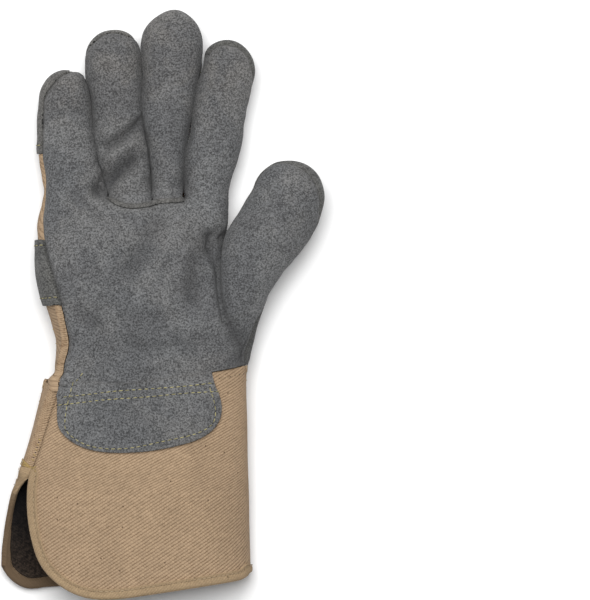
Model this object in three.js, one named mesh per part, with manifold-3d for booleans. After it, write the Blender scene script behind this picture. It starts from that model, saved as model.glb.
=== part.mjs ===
// A right-hand leather work glove with a canvas back and a gauntlet cuff, lying on its back with the palm up.
// Millimetres. +X is the thumb's side, +Y runs to the fingertips, +Z is up, and the floor is z = 0.
// Each piece is cut from hollow forms: fingers and thumb are tubes along a centreline, hand and cuff are
// flattened ovals lofted along Y. A layer is what lies between two offsets of such a form.
import * as THREE from "three";
import Module from "manifold-3d";
import { mergeVertices } from "three/addons/utils/BufferGeometryUtils.js";

// Walls, and the gap between pieces that touch
const LEATHER = 1.5;
const CANVAS = 1.2;
const LINING = 1.0;
const BINDING = 1.2;
const GAP = 0.3;
const CAP_PROUD = 0.9;
const WELT_PROUD = 1.1;

// Heights of the hand's and the cuff's undersides, which leave room for the strap and the binding below them
const HAND_REST = GAP + LEATHER;
const CUFF_REST = GAP + BINDING;

const FINGER_SIDES = 12;
const HAND_SIDES = 32;
const CUFF_SIDES = 20;
const TIP_RINGS = 3;
const TIP_BLUNTNESS = 0.35;
const HAND_ROUNDNESS = 2.5;
const CUFF_ROUNDNESS = 2.3;
const FAR = 200;

// Fingers: a row for each section, from the root inside the hand to where the rounded tip starts.
const FINGERS = {
  little: {
    tip: 16.2,
    rows: [
      { x: -45.0, y: 36, z: 16, halfWidth: 15.0, halfDepth: 11.0 },
      { x: -46.6, y: 56, z: 15.5, halfWidth: 17.4, halfDepth: 11.2 },
      { x: -49.9, y: 75, z: 15, halfWidth: 16.2, halfDepth: 10.9 },
      { x: -52.5, y: 98, z: 15.5, halfWidth: 15.3, halfDepth: 10.6 },
      { x: -52.7, y: 110, z: 16, halfWidth: 14.8, halfDepth: 10.4 },
    ],
  },
  ring: {
    tip: 16.8,
    rows: [
      { x: -15.1, y: 36, z: 16, halfWidth: 11.9, halfDepth: 11.0 },
      { x: -16.7, y: 57, z: 15.5, halfWidth: 12.3, halfDepth: 11.4 },
      { x: -19.1, y: 70, z: 15, halfWidth: 13.3, halfDepth: 11.5 },
      { x: -21.3, y: 81, z: 15, halfWidth: 14.4, halfDepth: 11.5 },
      { x: -24.7, y: 102, z: 15, halfWidth: 13.8, halfDepth: 11.3 },
      { x: -25.8, y: 114, z: 15.5, halfWidth: 15.0, halfDepth: 11.1 },
      { x: -26.7, y: 130.4, z: 16, halfWidth: 15.3, halfDepth: 10.8 },
    ],
  },
  middle: {
    tip: 18.4,
    rows: [
      { x: 3.5, y: 36, z: 16, halfWidth: 9.2, halfDepth: 11.0 },
      { x: 2.9, y: 76, z: 15, halfWidth: 9.8, halfDepth: 11.7 },
      { x: 2.8, y: 88, z: 15, halfWidth: 11.1, halfDepth: 11.8 },
      { x: 2.7, y: 98, z: 15, halfWidth: 13.7, halfDepth: 11.8 },
      { x: 4.1, y: 116, z: 15.5, halfWidth: 15.1, halfDepth: 11.8 },
      { x: 5.9, y: 131, z: 16, halfWidth: 16.7, halfDepth: 11.6 },
      { x: 6.8, y: 141.2, z: 16, halfWidth: 16.3, halfDepth: 11.2 },
    ],
  },
  index: {
    tip: 16.2,
    rows: [
      { x: 22.0, y: 34, z: 16, halfWidth: 12.4, halfDepth: 11.2 },
      { x: 23.8, y: 53, z: 15.5, halfWidth: 12.8, halfDepth: 11.6 },
      { x: 26.2, y: 76, z: 15, halfWidth: 14.2, halfDepth: 11.8 },
      { x: 27.9, y: 88, z: 15, halfWidth: 14.8, halfDepth: 11.7 },
      { x: 31.8, y: 108, z: 15.5, halfWidth: 14.6, halfDepth: 11.5 },
      { x: 34.8, y: 125, z: 16, halfWidth: 14.9, halfDepth: 11.2 },
    ],
  },
  thumb: {
    tip: 20.0,
    rows: [
      { x: 35.0, y: -24, z: 20, halfWidth: 11.5, halfDepth: 10.0 },
      { x: 37.5, y: -6.5, z: 23, halfWidth: 14.6, halfDepth: 15.0 },
      { x: 42.0, y: 11, z: 25, halfWidth: 16.8, halfDepth: 16.0 },
      { x: 50.0, y: 29, z: 24.5, halfWidth: 19.0, halfDepth: 15.0 },
      { x: 58.6, y: 41, z: 23, halfWidth: 20.0, halfDepth: 14.0 },
      { x: 64.2, y: 50.5, z: 22, halfWidth: 20.5, halfDepth: 13.2 },
      { x: 66.9, y: 57.5, z: 21.5, halfWidth: 20.3, halfDepth: 12.6 },
    ],
  },
};

// The hand below the fingers: a row for each section, from the finger roots to the end inside the cuff.
// bottom, side and top are the heights of the back, of the widest line and of the palm.
const HAND_ROWS = [
  { y: 61, x: -14.0, halfWidth: 44.0, bottom: 10.0, side: 15, top: 20.0 },
  { y: 59.5, x: -14.2, halfWidth: 47.5, bottom: 6.5, side: 15, top: 23.5 },
  { y: 54, x: -15.0, halfWidth: 49.3, bottom: 3.6, side: 15.5, top: 27.5 },
  { y: 45, x: -16.0, halfWidth: 49.8, bottom: 2.2, side: 16, top: 32.0 },
  { y: 34, x: -16.9, halfWidth: 49.9, bottom: 1.5, side: 16.5, top: 36.5 },
  { y: 18, x: -15.0, halfWidth: 51.0, bottom: 1.2, side: 17, top: 39.5 },
  { y: 2, x: -11.5, halfWidth: 52.3, bottom: 1.2, side: 17, top: 40.5 },
  { y: -9, x: -6.6, halfWidth: 52.3, bottom: 1.4, side: 17, top: 40.0 },
  { y: -20, x: -4.4, halfWidth: 52.1, bottom: 2.1, side: 17, top: 38.9 },
  { y: -34, x: -6.0, halfWidth: 51.3, bottom: 3.1, side: 17, top: 37.6 },
  { y: -50, x: -9.4, halfWidth: 48.2, bottom: 3.3, side: 17, top: 37.4 },
];

// The cuff: a row for each section, from its top edge to past its mouth. Its widest line sinks as it opens.
const CUFF_ROWS = [
  { y: -26, x: -8.0, halfWidth: 53.4, bottom: 1.2, side: 17, top: 36.2 },
  { y: -40, x: -8.9, halfWidth: 54.0, bottom: 1.2, side: 17, top: 36.4 },
  { y: -63, x: -11.4, halfWidth: 57.0, bottom: 1.2, side: 15, top: 36.9 },
  { y: -106, x: -17.8, halfWidth: 64.3, bottom: 1.2, side: 10.5, top: 39.8 },
  { y: -128, x: -20.0, halfWidth: 67.0, bottom: 1.2, side: 9.5, top: 41.6 },
  { y: -166, x: -20.0, halfWidth: 68.0, bottom: 1.2, side: 9.5, top: 43.4 },
];
const CUFF_TOP_SIDE = 17;

// Soft dents in the palm; one of negative depth is a pad.
const PALM_DENTS = [
  { place: "beside the thumb's crease", x: 23, y: 12, reachX: 9, reachY: 15, depth: 4.5 },
  { place: "hollow of the hand", x: -14, y: 12, reachX: 22, reachY: 24, depth: 2.4 },
  { place: "under the ring finger", x: -22, y: 40, reachX: 16, reachY: 9, depth: -1.0 },
  { place: "below the little finger", x: -42, y: -6, reachX: 11, reachY: 18, depth: 1.6 },
  { place: "fold above the heel", x: -12, y: -24, reachX: 40, reachY: 7, depth: 1.4 },
];

// Gathers of the back's canvas, which two rows of elastic pull together at the wrist.
const GATHERS = { y: -18, reach: 13, pitch: 10.5, depth: 1.9 };

// Height of the seam between palm side and back, near the left edge and further right.
const SEAM_ROWS = [
  { y: -70, left: -59, atLeft: 28, elsewhere: 15 },
  { y: -44, left: -57.5, atLeft: 28, elsewhere: 15 },
  { y: -22, left: -56.2, atLeft: 29, elsewhere: 15 },
  { y: -9, left: -59.1, atLeft: 30.5, elsewhere: 15 },
  { y: 2, left: -63.8, atLeft: 32, elsewhere: 15 },
  { y: 20, left: -66, atLeft: 29.5, elsewhere: 14.5 },
  { y: 40, left: -66.8, atLeft: 24.5, elsewhere: 14 },
  { y: 60, left: -65.5, atLeft: 21, elsewhere: 13 },
  { y: 80, left: -66.8, atLeft: 20, elsewhere: 13 },
  { y: FAR, left: -67.5, atLeft: 20, elsewhere: 13.5 },
];
const SEAM_REACH = [11, 23];
const THUMB_SEAM = 23.5;

// Height up to which the cuff's back reaches: it sinks along the slit on the little finger's side.
const FLAP_ROWS = [
  { y: -FAR, left: -90, atLeft: 9.5, elsewhere: 17 },
  { y: -126, left: -90, atLeft: 9.5, elsewhere: 17 },
  { y: -114, left: -88, atLeft: 11.5, elsewhere: 17 },
  { y: -105, left: -86, atLeft: 15.5, elsewhere: 18 },
  { y: -98, left: -83, atLeft: 21.0, elsewhere: 21 },
  { y: -93, left: -80, atLeft: 27.0, elsewhere: 27 },
  { y: 0, left: -70, atLeft: 27.0, elsewhere: 27 },
];
const FLAP_REACH = [6, 14];

// Lines between neighbouring fingers, from beyond their tips to where they meet.
const LITTLE_TO_RING = [
  [-46, FAR], [-43.5, 124], [-38.2, 114], [-37.3, 90], [-33.5, 74.6], [-28.2, 56.3],
];
const RING_TO_MIDDLE = [
  [-12, FAR], [-12, 135], [-10.2, 122], [-11.6, 102], [-7.5, 85], [-6, 70], [-5.2, 54.5],
];
const MIDDLE_TO_INDEX = [
  [24.5, FAR], [23.4, 135], [18.8, 118], [15.4, 95], [12.5, 80], [11.9, 67], [11.9, 56],
];
// The line under the two middle fingers, where a welt joins their fronts to the palm
const FINGER_BASE = [
  [-28.2, 56.3], [-26.4, 55], [-21.5, 52.9], [-12.9, 51.9], [-5.2, 53.4], [-1.7, 54.7],
  [4.5, 55.4], [11.9, 56],
];
const WELT_WIDTH = 2.4;

// On the back: the right edge of the canvas, the lower edges of the fingertips, and the knuckle strap
const CANVAS_RIGHT = [
  [11.9, 68], [18.9, 61], [45.4, 23], [38.9, -0.5], [30.8, -16], [30.2, -21], [35.6, -34],
];
const CAP_EDGES = { little: 81, ring: 109, middle: 121 };
const STRAP = [
  [-FAR, 34.3], [36, 34.3], [38.6, 31], [38.6, 2], [36, -0.8], [-FAR, -0.8],
];

// Where the hand meets the cuff, on the palm's side and on the back
const JOIN_FRONT = [
  [-FAR, -41.5], [-59, -41.5], [-53.7, -44.5], [-33.5, -44.5], [-6.5, -42.5], [24.1, -37.4],
  [40.8, -34.1], [48, -32.5], [FAR, -32.5],
];
const JOIN_BACK = [[-FAR, -41.5], [-62, -41.5], [35.6, -35], [48, -32.5], [FAR, -32.5]];
const WRIST_TUCK = 7;

// The cuff's edge from the slit's top corner on the left round to the right side
const SLIT_TOP = -91;
const EDGE_FRONT = [
  [-71.4, -93], [-72.8, -101], [-72.6, -114.8], [-69.3, -131.6], [-64.3, -142.6], [-55.5, -151.2],
  [-45.6, -156.6], [-35.4, -158.8], [-22.4, -158.6], [-3.8, -155.9], [24.1, -151.8], [44.6, -148.8],
  [FAR, -148.8],
];
const EDGE_BACK = [
  [-82, -93], [-86, -106], [-89, -120], [-89, -134], [-85.6, -143.6], [-79.6, -150.4],
  [-72.6, -154.2], [-62, -155], [9.7, -153.1], [44.6, -149.2], [FAR, -149.2],
];
const HEM = 6;
const LINING_INSET = 8.5;

// The heel patch below the palm's edge
const PATCH = [
  [-55.4, -30], [-55.4, -52], [-55.8, -64.5], [-53.2, -69.8], [-47.5, -74.8], [-38.8, -78.6],
  [-27.9, -80.2], [-13.5, -80], [-2.7, -78.8], [8.2, -76.6], [19.1, -73.4], [26.3, -68.9],
  [30.6, -63.1], [31.8, -56.5], [30.6, -49.3], [27.8, -43.5], [25.4, -30],
];

const FINISHES = {
  palm_leather: { color: 0x5d6064, roughness: 0.95, metalness: 0 },
  back_leather: { color: 0x595a58, roughness: 0.95, metalness: 0 },
  tip_leather: { color: 0x686665, roughness: 0.95, metalness: 0 },
  canvas: { color: 0xa98b6c, roughness: 0.9, metalness: 0 },
  hem_canvas: { color: 0xa08060, roughness: 0.9, metalness: 0 },
  dark_lining: { color: 0x231e19, roughness: 0.8, metalness: 0 },
};

const wasm = await Module();
wasm.setup();

// A closed geometry as a manifold-3d solid.
function solidOf(geometry) {
  const bare = new THREE.BufferGeometry();
  bare.setAttribute("position", geometry.getAttribute("position"));
  bare.setIndex(geometry.getIndex());
  const merged = mergeVertices(bare, 1e-4);
  return new wasm.Manifold(
    new wasm.Mesh({
      numProp: 3,
      vertProperties: merged.attributes.position.array,
      triVerts: new Uint32Array(merged.index.array),
    }),
  );
}

// A manifold-3d solid as a geometry.
function geometryOf(solid) {
  const mesh = solid.getMesh();
  const geometry = new THREE.BufferGeometry();
  geometry.setAttribute("position", new THREE.BufferAttribute(mesh.vertProperties, 3));
  geometry.setIndex(new THREE.BufferAttribute(mesh.triVerts, 1));
  return geometry;
}

const joined = (solids) => solids.reduce((whole, next) => whole.add(next));
const reversed = (line) => [...line].reverse();

function centreOf(ring) {
  return ring.reduce((sum, p) => sum.add(p), new THREE.Vector3()).divideScalar(ring.length);
}

// A solid through rings of points that follow each other along Y; seen from +Y each runs anticlockwise.
function loft(rings) {
  const count = rings[0].length;
  const points = rings.flat();
  const start = points.length;
  points.push(centreOf(rings[0]), centreOf(rings.at(-1)));
  const last = (rings.length - 1) * count;
  const triangles = [];
  for (let i = 0; i < count; i++) {
    const next = (i + 1) % count;
    for (let row = 0; row < last; row += count) {
      triangles.push(row + i, row + next, row + next + count);
      triangles.push(row + i, row + next + count, row + i + count);
    }
    triangles.push(start, next, i);
    triangles.push(start + 1, last + i, last + next);
  }
  const geometry = new THREE.BufferGeometry().setFromPoints(points);
  geometry.setIndex(triangles);
  return solidOf(geometry);
}

// A finger as a solid tube with a rounded tip, grown by an offset.
function fingerSolid({ rows, tip }, offset) {
  const centres = rows.map((row) => new THREE.Vector3(row.x, row.y, row.z));
  const direction = (i) => {
    const from = centres[Math.max(i - 1, 0)];
    const to = centres[Math.min(i + 1, centres.length - 1)];
    return to.clone().sub(from).setZ(0).normalize();
  };
  const ringAt = (centre, along, halfWidth, halfDepth) => {
    const side = new THREE.Vector3(along.y, -along.x, 0);
    return Array.from({ length: FINGER_SIDES }, (_, i) => {
      const angle = (-2 * Math.PI * i) / FINGER_SIDES;
      const up = new THREE.Vector3(0, 0, Math.sin(angle) * halfDepth);
      return centre.clone().addScaledVector(side, Math.cos(angle) * halfWidth).add(up);
    });
  };
  const rings = rows.map((row, i) =>
    ringAt(centres[i], direction(i), row.halfWidth + offset, row.halfDepth + offset),
  );
  const end = rows.at(-1);
  const along = direction(rows.length - 1);
  for (let k = 1; k <= TIP_RINGS; k++) {
    const angle = ((k / (TIP_RINGS + TIP_BLUNTNESS)) * Math.PI) / 2;
    const centre = centres.at(-1).clone().addScaledVector(along, (tip + offset) * Math.sin(angle));
    const share = Math.cos(angle);
    rings.push(ringAt(centre, along, (end.halfWidth + offset) * share, (end.halfDepth + offset) * share));
  }
  return loft(rings);
}

// A flattened oval lofted along Y, grown by an offset, with relief(x, y, up) pressed into it.
// Roundness 2 is an ellipse, and more is squarer.
function ovalSolid(rows, sides, roundness, offset, relief = () => 0) {
  const power = 2 / roundness;
  const rounded = (share) => Math.sign(share) * Math.abs(share) ** power;
  const rings = rows.map((row) =>
    Array.from({ length: sides }, (_, i) => {
      const angle = (-2 * Math.PI * i) / sides;
      const up = rounded(Math.sin(angle));
      const x = row.x + rounded(Math.cos(angle)) * (row.halfWidth + offset);
      const reach = offset + (up > 0 ? row.top - row.side : row.side - row.bottom);
      return new THREE.Vector3(x, row.y, row.side + up * (reach - relief(x, row.y, up)));
    }),
  );
  return loft(rings.reverse());
}

// Dents of the palm above, gathers of the canvas below.
function handRelief(x, y, up) {
  if (up > 0) {
    const dent = (d) => d.depth * Math.exp(-(((x - d.x) / d.reachX) ** 2) - ((y - d.y) / d.reachY) ** 2);
    return PALM_DENTS.reduce((sum, d) => sum + dent(d), 0);
  }
  const near = Math.exp(-(((y - GATHERS.y) / GATHERS.reach) ** 2));
  return GATHERS.depth * near * (0.5 + 0.5 * Math.cos((2 * Math.PI * x) / GATHERS.pitch));
}

function boxSolid(low, high) {
  const size = high.map((value, i) => value - low[i]);
  const geometry = new THREE.BoxGeometry(...size);
  geometry.translate(low[0] + size[0] / 2, low[1] + size[1] / 2, low[2] + size[2] / 2);
  return solidOf(geometry);
}

const aboveHeight = (z) => boxSolid([-FAR, -FAR, z], [FAR, FAR, FAR]);

// Everything above and below an outline in the plan view.
function prism(outline) {
  const shape = new THREE.Shape(outline.map(([x, y]) => new THREE.Vector2(x, y)));
  const geometry = new THREE.ExtrudeGeometry(shape, { depth: 2 * FAR, bevelEnabled: false });
  geometry.translate(0, 0, -FAR);
  return solidOf(geometry);
}

// An open line moved to its left, as it runs, by a distance.
function shifted(line, distance) {
  return line.map(([x, y], i) => {
    const [x0, y0] = line[Math.max(i - 1, 0)];
    const [x1, y1] = line[Math.min(i + 1, line.length - 1)];
    const length = Math.hypot(x1 - x0, y1 - y0);
    return [x - ((y1 - y0) / length) * distance, y + ((x1 - x0) / length) * distance];
  });
}

// A wall that stands on a line, to both sides of it by half its thickness.
function wallOn(line, thickness) {
  return prism([...shifted(line, thickness / 2), ...reversed(shifted(line, -thickness / 2))]);
}

// All that lies above a line in the plan view, once the line is moved down by a drop.
function aboveLine(line, drop) {
  return prism([...line.map(([x, y]) => [x, y - drop]), [FAR, FAR], [-FAR, FAR]]);
}

// All above a sheet that keeps one height near its left edge and another further right, moved up by a rise.
function aboveSheet(rows, [levelReach, returnReach], rise) {
  const share = (step) => THREE.MathUtils.smoothstep(step, levelReach, returnReach);
  const slope = [0, 0.3, 0.7, 1].map((part) => THREE.MathUtils.lerp(levelReach, returnReach, part));
  const steps = [-60, ...slope, 220];
  const width = steps.length;
  const low = rows.flatMap((row) =>
    steps.map((step) => {
      const z = THREE.MathUtils.lerp(row.atLeft, row.elsewhere, share(step));
      return new THREE.Vector3(row.left + step, row.y, z + rise);
    }),
  );
  const high = low.map((p) => new THREE.Vector3(p.x, p.y, FAR));
  const count = low.length;
  const triangles = [];
  const quad = (a, b, c, d) => triangles.push(a, b, c, a, c, d);
  const rim = [];
  for (let j = 0; j + 1 < rows.length; j++) {
    for (let i = 0; i + 1 < width; i++) {
      const a = j * width + i;
      quad(a, a + width, a + width + 1, a + 1);
      quad(count + a, count + a + 1, count + a + width + 1, count + a + width);
    }
  }
  for (let a = 0; a < width; a++) {
    rim.push(a);
  }
  for (let a = 2 * width - 1; a < count; a += width) {
    rim.push(a);
  }
  for (let a = count - 2; a >= count - width; a--) {
    rim.push(a);
  }
  for (let a = count - 2 * width; a > 0; a -= width) {
    rim.push(a);
  }
  rim.forEach((a, i) => {
    const b = rim[(i + 1) % rim.length];
    quad(a, b, count + b, count + a);
  });
  const geometry = new THREE.BufferGeometry().setFromPoints([...low, ...high]);
  geometry.setIndex(triangles);
  return solidOf(geometry);
}

// Forms grown by an offset, each flattened where it rests

function handForm(offset) {
  const body = ovalSolid(HAND_ROWS, HAND_SIDES, HAND_ROUNDNESS, offset, handRelief);
  const fingers = ["little", "ring", "middle", "index"].map((name) => fingerSolid(FINGERS[name], offset));
  return joined([body, ...fingers]).intersect(aboveHeight(HAND_REST - offset));
}

function cuffForm(offset) {
  const form = ovalSolid(CUFF_ROWS, CUFF_SIDES, CUFF_ROUNDNESS, offset);
  return form.intersect(aboveHeight(CUFF_REST - offset));
}

const thumbForm = (offset) => fingerSolid(FINGERS.thumb, offset);

// The hand's pieces

const fingerSlots = joined([LITTLE_TO_RING, RING_TO_MIDDLE, MIDDLE_TO_INDEX].map((line) => wallOn(line, GAP)));
const hand = handForm(0).subtract(fingerSlots).subtract(thumbForm(-LEATHER));
const leather = hand.subtract(handForm(-LEATHER));
const canvas = hand.subtract(handForm(-CANVAS));
const palmSide = aboveSheet(SEAM_ROWS, SEAM_REACH, GAP / 2);
const palmSideGrown = aboveSheet(SEAM_ROWS, SEAM_REACH, -GAP / 2);

const ringBase = FINGER_BASE.slice(1, 4);
const middleBase = FINGER_BASE.slice(5, 7);
const ringRegion = prism([...LITTLE_TO_RING, ...ringBase, ...reversed(RING_TO_MIDDLE)]);
const middleRegion = prism([...RING_TO_MIDDLE, ...middleBase, ...reversed(MIDDLE_TO_INDEX)]);
const weltRegion = wallOn(FINGER_BASE, WELT_WIDTH);
const weltRoom = wallOn(FINGER_BASE, WELT_WIDTH + 2 * GAP);

// Where the palm's leather wraps round to the back beside the canvas, grown to the left and upwards
function wrapRegion(grow) {
  const edge = shifted(CANVAS_RIGHT, -grow).slice(2);
  const top = CANVAS_RIGHT[2][1] + grow;
  return prism([[edge[0][0], top], ...edge, [edge.at(-1)[0], -FAR], [FAR, -FAR], [FAR, top]]);
}

const aboveCrotch = MIDDLE_TO_INDEX.slice(0, -2);
const indexRegion = prism([...aboveCrotch, ...CANVAS_RIGHT.slice(0, 3), [FAR, CANVAS_RIGHT[2][1]], [FAR, FAR]]);
const canvasEdge = reversed(shifted(CANVAS_RIGHT, -GAP));
const canvasRegion = prism([
  [-FAR, -FAR],
  [canvasEdge[0][0], -FAR],
  ...canvasEdge,
  ...reversed(aboveCrotch),
  [-FAR, FAR],
]);

const palm = leather
  .intersect(palmSide.add(wrapRegion(0)))
  .intersect(aboveLine(JOIN_FRONT, 0))
  .subtract(ringRegion)
  .subtract(middleRegion)
  .subtract(weltRoom);
const fingerFronts = leather.intersect(palmSide).subtract(weltRoom);
const welt = handForm(WELT_PROUD)
  .subtract(handForm(-LEATHER))
  .intersect(weltRegion)
  .intersect(aboveHeight(24));
const indexBack = leather.intersect(indexRegion).subtract(palmSideGrown).subtract(wrapRegion(GAP));

// The tip of a finger between the lines on its two sides, above an edge
function tipRegion(left, right, edge) {
  return prism([...left, ...reversed(right)]).intersect(boxSolid([-FAR, edge, -FAR], [FAR, FAR, FAR]));
}

const LEFT_SIDE = [[-FAR, FAR], [-FAR, 0], [-28.2, 0]];
const tipSides = {
  little: [LEFT_SIDE, LITTLE_TO_RING],
  ring: [LITTLE_TO_RING, RING_TO_MIDDLE],
  middle: [RING_TO_MIDDLE, MIDDLE_TO_INDEX],
};
const tipNames = Object.keys(tipSides);
const tipShell = handForm(CAP_PROUD)
  .subtract(handForm(-CANVAS))
  .subtract(fingerSlots)
  .subtract(palmSideGrown);
const tipRoom = joined(tipNames.map((name) => tipRegion(...tipSides[name], CAP_EDGES[name] - GAP)));
const canvasBack = canvas
  .intersect(canvasRegion)
  .intersect(aboveLine(JOIN_BACK, WRIST_TUCK))
  .subtract(palmSideGrown)
  .subtract(tipRoom)
  .subtract(cuffForm(GAP).subtract(cuffForm(-CANVAS - GAP)).subtract(aboveCuff(0)));
const strap = handForm(GAP + LEATHER)
  .subtract(handForm(GAP))
  .intersect(prism(STRAP))
  .subtract(palmSideGrown)
  .subtract(thumbForm(GAP));

// The thumb's pieces

const thumb = thumbForm(0).subtract(thumbForm(-LEATHER)).subtract(handForm(GAP));
const thumbFront = thumb.intersect(aboveHeight(THUMB_SEAM + GAP / 2));
const thumbBack = thumb.subtract(aboveHeight(THUMB_SEAM - GAP / 2));

// The cuff's pieces

// The part of the cuff that is there: its front inside one outline, its back inside another and below the flap's
// height. Both outlines shrink by an inset, and the flap by a drop.
function cuffRegion(inset, drop = inset) {
  const inside = (edge) => {
    const line = shifted(edge, inset);
    return prism([[-FAR, 0], [-FAR, SLIT_TOP + inset], [line[0][0], SLIT_TOP + inset], ...line, [FAR, 0]]);
  };
  const front = inside(EDGE_FRONT).intersect(aboveHeight(CUFF_TOP_SIDE));
  const back = inside(EDGE_BACK).subtract(aboveSheet(FLAP_ROWS, FLAP_REACH, -drop));
  return front.add(back);
}

// Everything above the cuff's top edge, grown towards the cuff
function aboveCuff(grow) {
  const upper = aboveHeight(CUFF_TOP_SIDE);
  return aboveLine(JOIN_FRONT, grow).intersect(upper).add(aboveLine(JOIN_BACK, grow).subtract(upper));
}

const cuffWall = cuffForm(0).subtract(cuffForm(-CANVAS));
const cuff = cuffWall.intersect(cuffRegion(0)).subtract(aboveCuff(GAP));
const wallRoom = cuffForm(GAP).subtract(cuffForm(-CANVAS - GAP)).intersect(cuffRegion(-GAP));
const binding = cuffForm(GAP + BINDING)
  .subtract(cuffForm(-CANVAS - GAP - BINDING))
  .intersect(cuffRegion(-GAP - BINDING))
  .subtract(cuffRegion(HEM))
  .subtract(wallRoom)
  .subtract(aboveCuff(0));
const lining = cuffForm(-CANVAS - GAP)
  .subtract(cuffForm(-CANVAS - GAP - LINING))
  .intersect(cuffRegion(LINING_INSET, HEM + GAP))
  .subtract(aboveCuff(WRIST_TUCK + 2 * GAP));
const patch = cuffForm(GAP + LEATHER)
  .subtract(cuffForm(GAP))
  .intersect(prism(PATCH))
  .intersect(aboveHeight(CUFF_TOP_SIDE))
  .subtract(aboveLine(JOIN_FRONT, GAP));

const glove = new THREE.Group();
glove.name = "work_glove";

// Adds a solid as a named mesh, without the scraps that a cut can leave beside it.
function addPiece(name, solid, finish) {
  const bodies = solid.decompose();
  const largest = bodies.reduce((most, next) => (next.volume() > most.volume() ? next : most));
  const mesh = new THREE.Mesh(geometryOf(largest), new THREE.MeshStandardMaterial(FINISHES[finish]));
  mesh.name = name;
  glove.add(mesh);
}

addPiece("palm", palm, "palm_leather");
addPiece("ring_finger_front", fingerFronts.intersect(ringRegion), "palm_leather");
addPiece("middle_finger_front", fingerFronts.intersect(middleRegion), "palm_leather");
addPiece("finger_base_welt", welt, "tip_leather");
addPiece("index_finger_back", indexBack, "back_leather");
addPiece("thumb_front", thumbFront, "palm_leather");
addPiece("thumb_back", thumbBack, "back_leather");
for (const name of tipNames) {
  const tip = tipShell.intersect(tipRegion(...tipSides[name], CAP_EDGES[name]));
  addPiece(`${name}_fingertip`, tip, "tip_leather");
}
addPiece("canvas_back", canvasBack, "canvas");
addPiece("knuckle_strap", strap, "back_leather");
addPiece("heel_patch", patch, "palm_leather");
addPiece("cuff", cuff, "canvas");
addPiece("cuff_binding", binding, "hem_canvas");
addPiece("cuff_lining", lining, "dark_lining");

// The frame's origin is under the middle of the glove's box.
const middle = new THREE.Box3().setFromObject(glove).getCenter(new THREE.Vector3());
glove.position.set(-middle.x, -middle.y, 0);

export default glove;
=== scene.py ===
"""A right-hand leather work glove with a canvas back and a gauntlet cuff, lying on its back with the palm up.

Shapes are worked out in glove millimetres: +X to the thumb, +Y to the fingertips, +Z up, z = 0 on the
floor, with X and Y counted from the middle of the palm. Finished meshes are moved into the frame and turned
into metres.
"""
import logging
import math
from collections.abc import Callable, Sequence
from dataclasses import dataclass, field
from enum import Enum
from itertools import product
from typing import NamedTuple

import bpy
import numpy as np
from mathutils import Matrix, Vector


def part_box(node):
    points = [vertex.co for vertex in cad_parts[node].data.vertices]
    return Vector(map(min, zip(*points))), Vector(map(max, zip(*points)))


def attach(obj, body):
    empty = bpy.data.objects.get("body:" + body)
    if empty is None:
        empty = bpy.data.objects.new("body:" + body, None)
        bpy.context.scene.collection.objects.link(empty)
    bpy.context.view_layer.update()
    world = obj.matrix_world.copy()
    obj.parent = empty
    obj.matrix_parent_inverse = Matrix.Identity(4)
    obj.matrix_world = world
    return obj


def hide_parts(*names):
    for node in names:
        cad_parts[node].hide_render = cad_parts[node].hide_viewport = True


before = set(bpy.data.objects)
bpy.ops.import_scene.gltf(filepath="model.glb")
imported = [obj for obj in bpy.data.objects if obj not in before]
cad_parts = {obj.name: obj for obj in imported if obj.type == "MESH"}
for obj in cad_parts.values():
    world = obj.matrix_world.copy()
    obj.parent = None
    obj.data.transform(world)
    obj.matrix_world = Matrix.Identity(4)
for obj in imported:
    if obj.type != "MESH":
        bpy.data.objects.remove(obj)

log = logging.getLogger("glove")

Array = np.ndarray
Span = tuple[float, float]
Line = Sequence[Span]

MM = 0.001
FAR = 200.0
LEATHER = 1.5
CANVAS = 1.2
LINING = 1.0
BINDING = 1.2
GAP = 0.3
CAP_PROUD = 0.9
WELT_PROUD = 0.8
HAND_REST = GAP + LEATHER
CUFF_REST = GAP + BINDING

CELL = 0.8
SLOT = 1.8
SNAP = 1e-4
CORNERS = tuple(product((0, 1), repeat=3))


class TubeRow(NamedTuple):
    """A section of a finger: the middle of the tube and half its width and depth."""

    x: float
    y: float
    z: float
    half_width: float
    half_depth: float


class OvalRow(NamedTuple):
    """A section of the hand or cuff, with the heights of its underside, of its widest line and of its top."""

    y: float
    x: float
    half_width: float
    bottom: float
    side: float
    top: float


class SeamRow(NamedTuple):
    """The height of the seam between the palm's side and the back."""

    y: float
    height: float


class HeightRow(NamedTuple):
    """The height of a cut near the left edge, whose place is left, and further right."""

    y: float
    left: float
    at_left: float
    elsewhere: float


class Dent(NamedTuple):
    """A soft dent in the palm, or a pad where its depth is negative."""

    x: float
    y: float
    reach_x: float
    reach_y: float
    depth: float


class Crease(NamedTuple):
    """A fold in the palm along a line: how deep and wide it is, and the height of the swellings beside it."""

    line: Line
    depth: float
    width: float
    swelling: float


def rows_of(kind: type, *rows: tuple) -> tuple:
    """A table whose rows are all of one kind."""
    return tuple(kind(*row) for row in rows)


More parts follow.
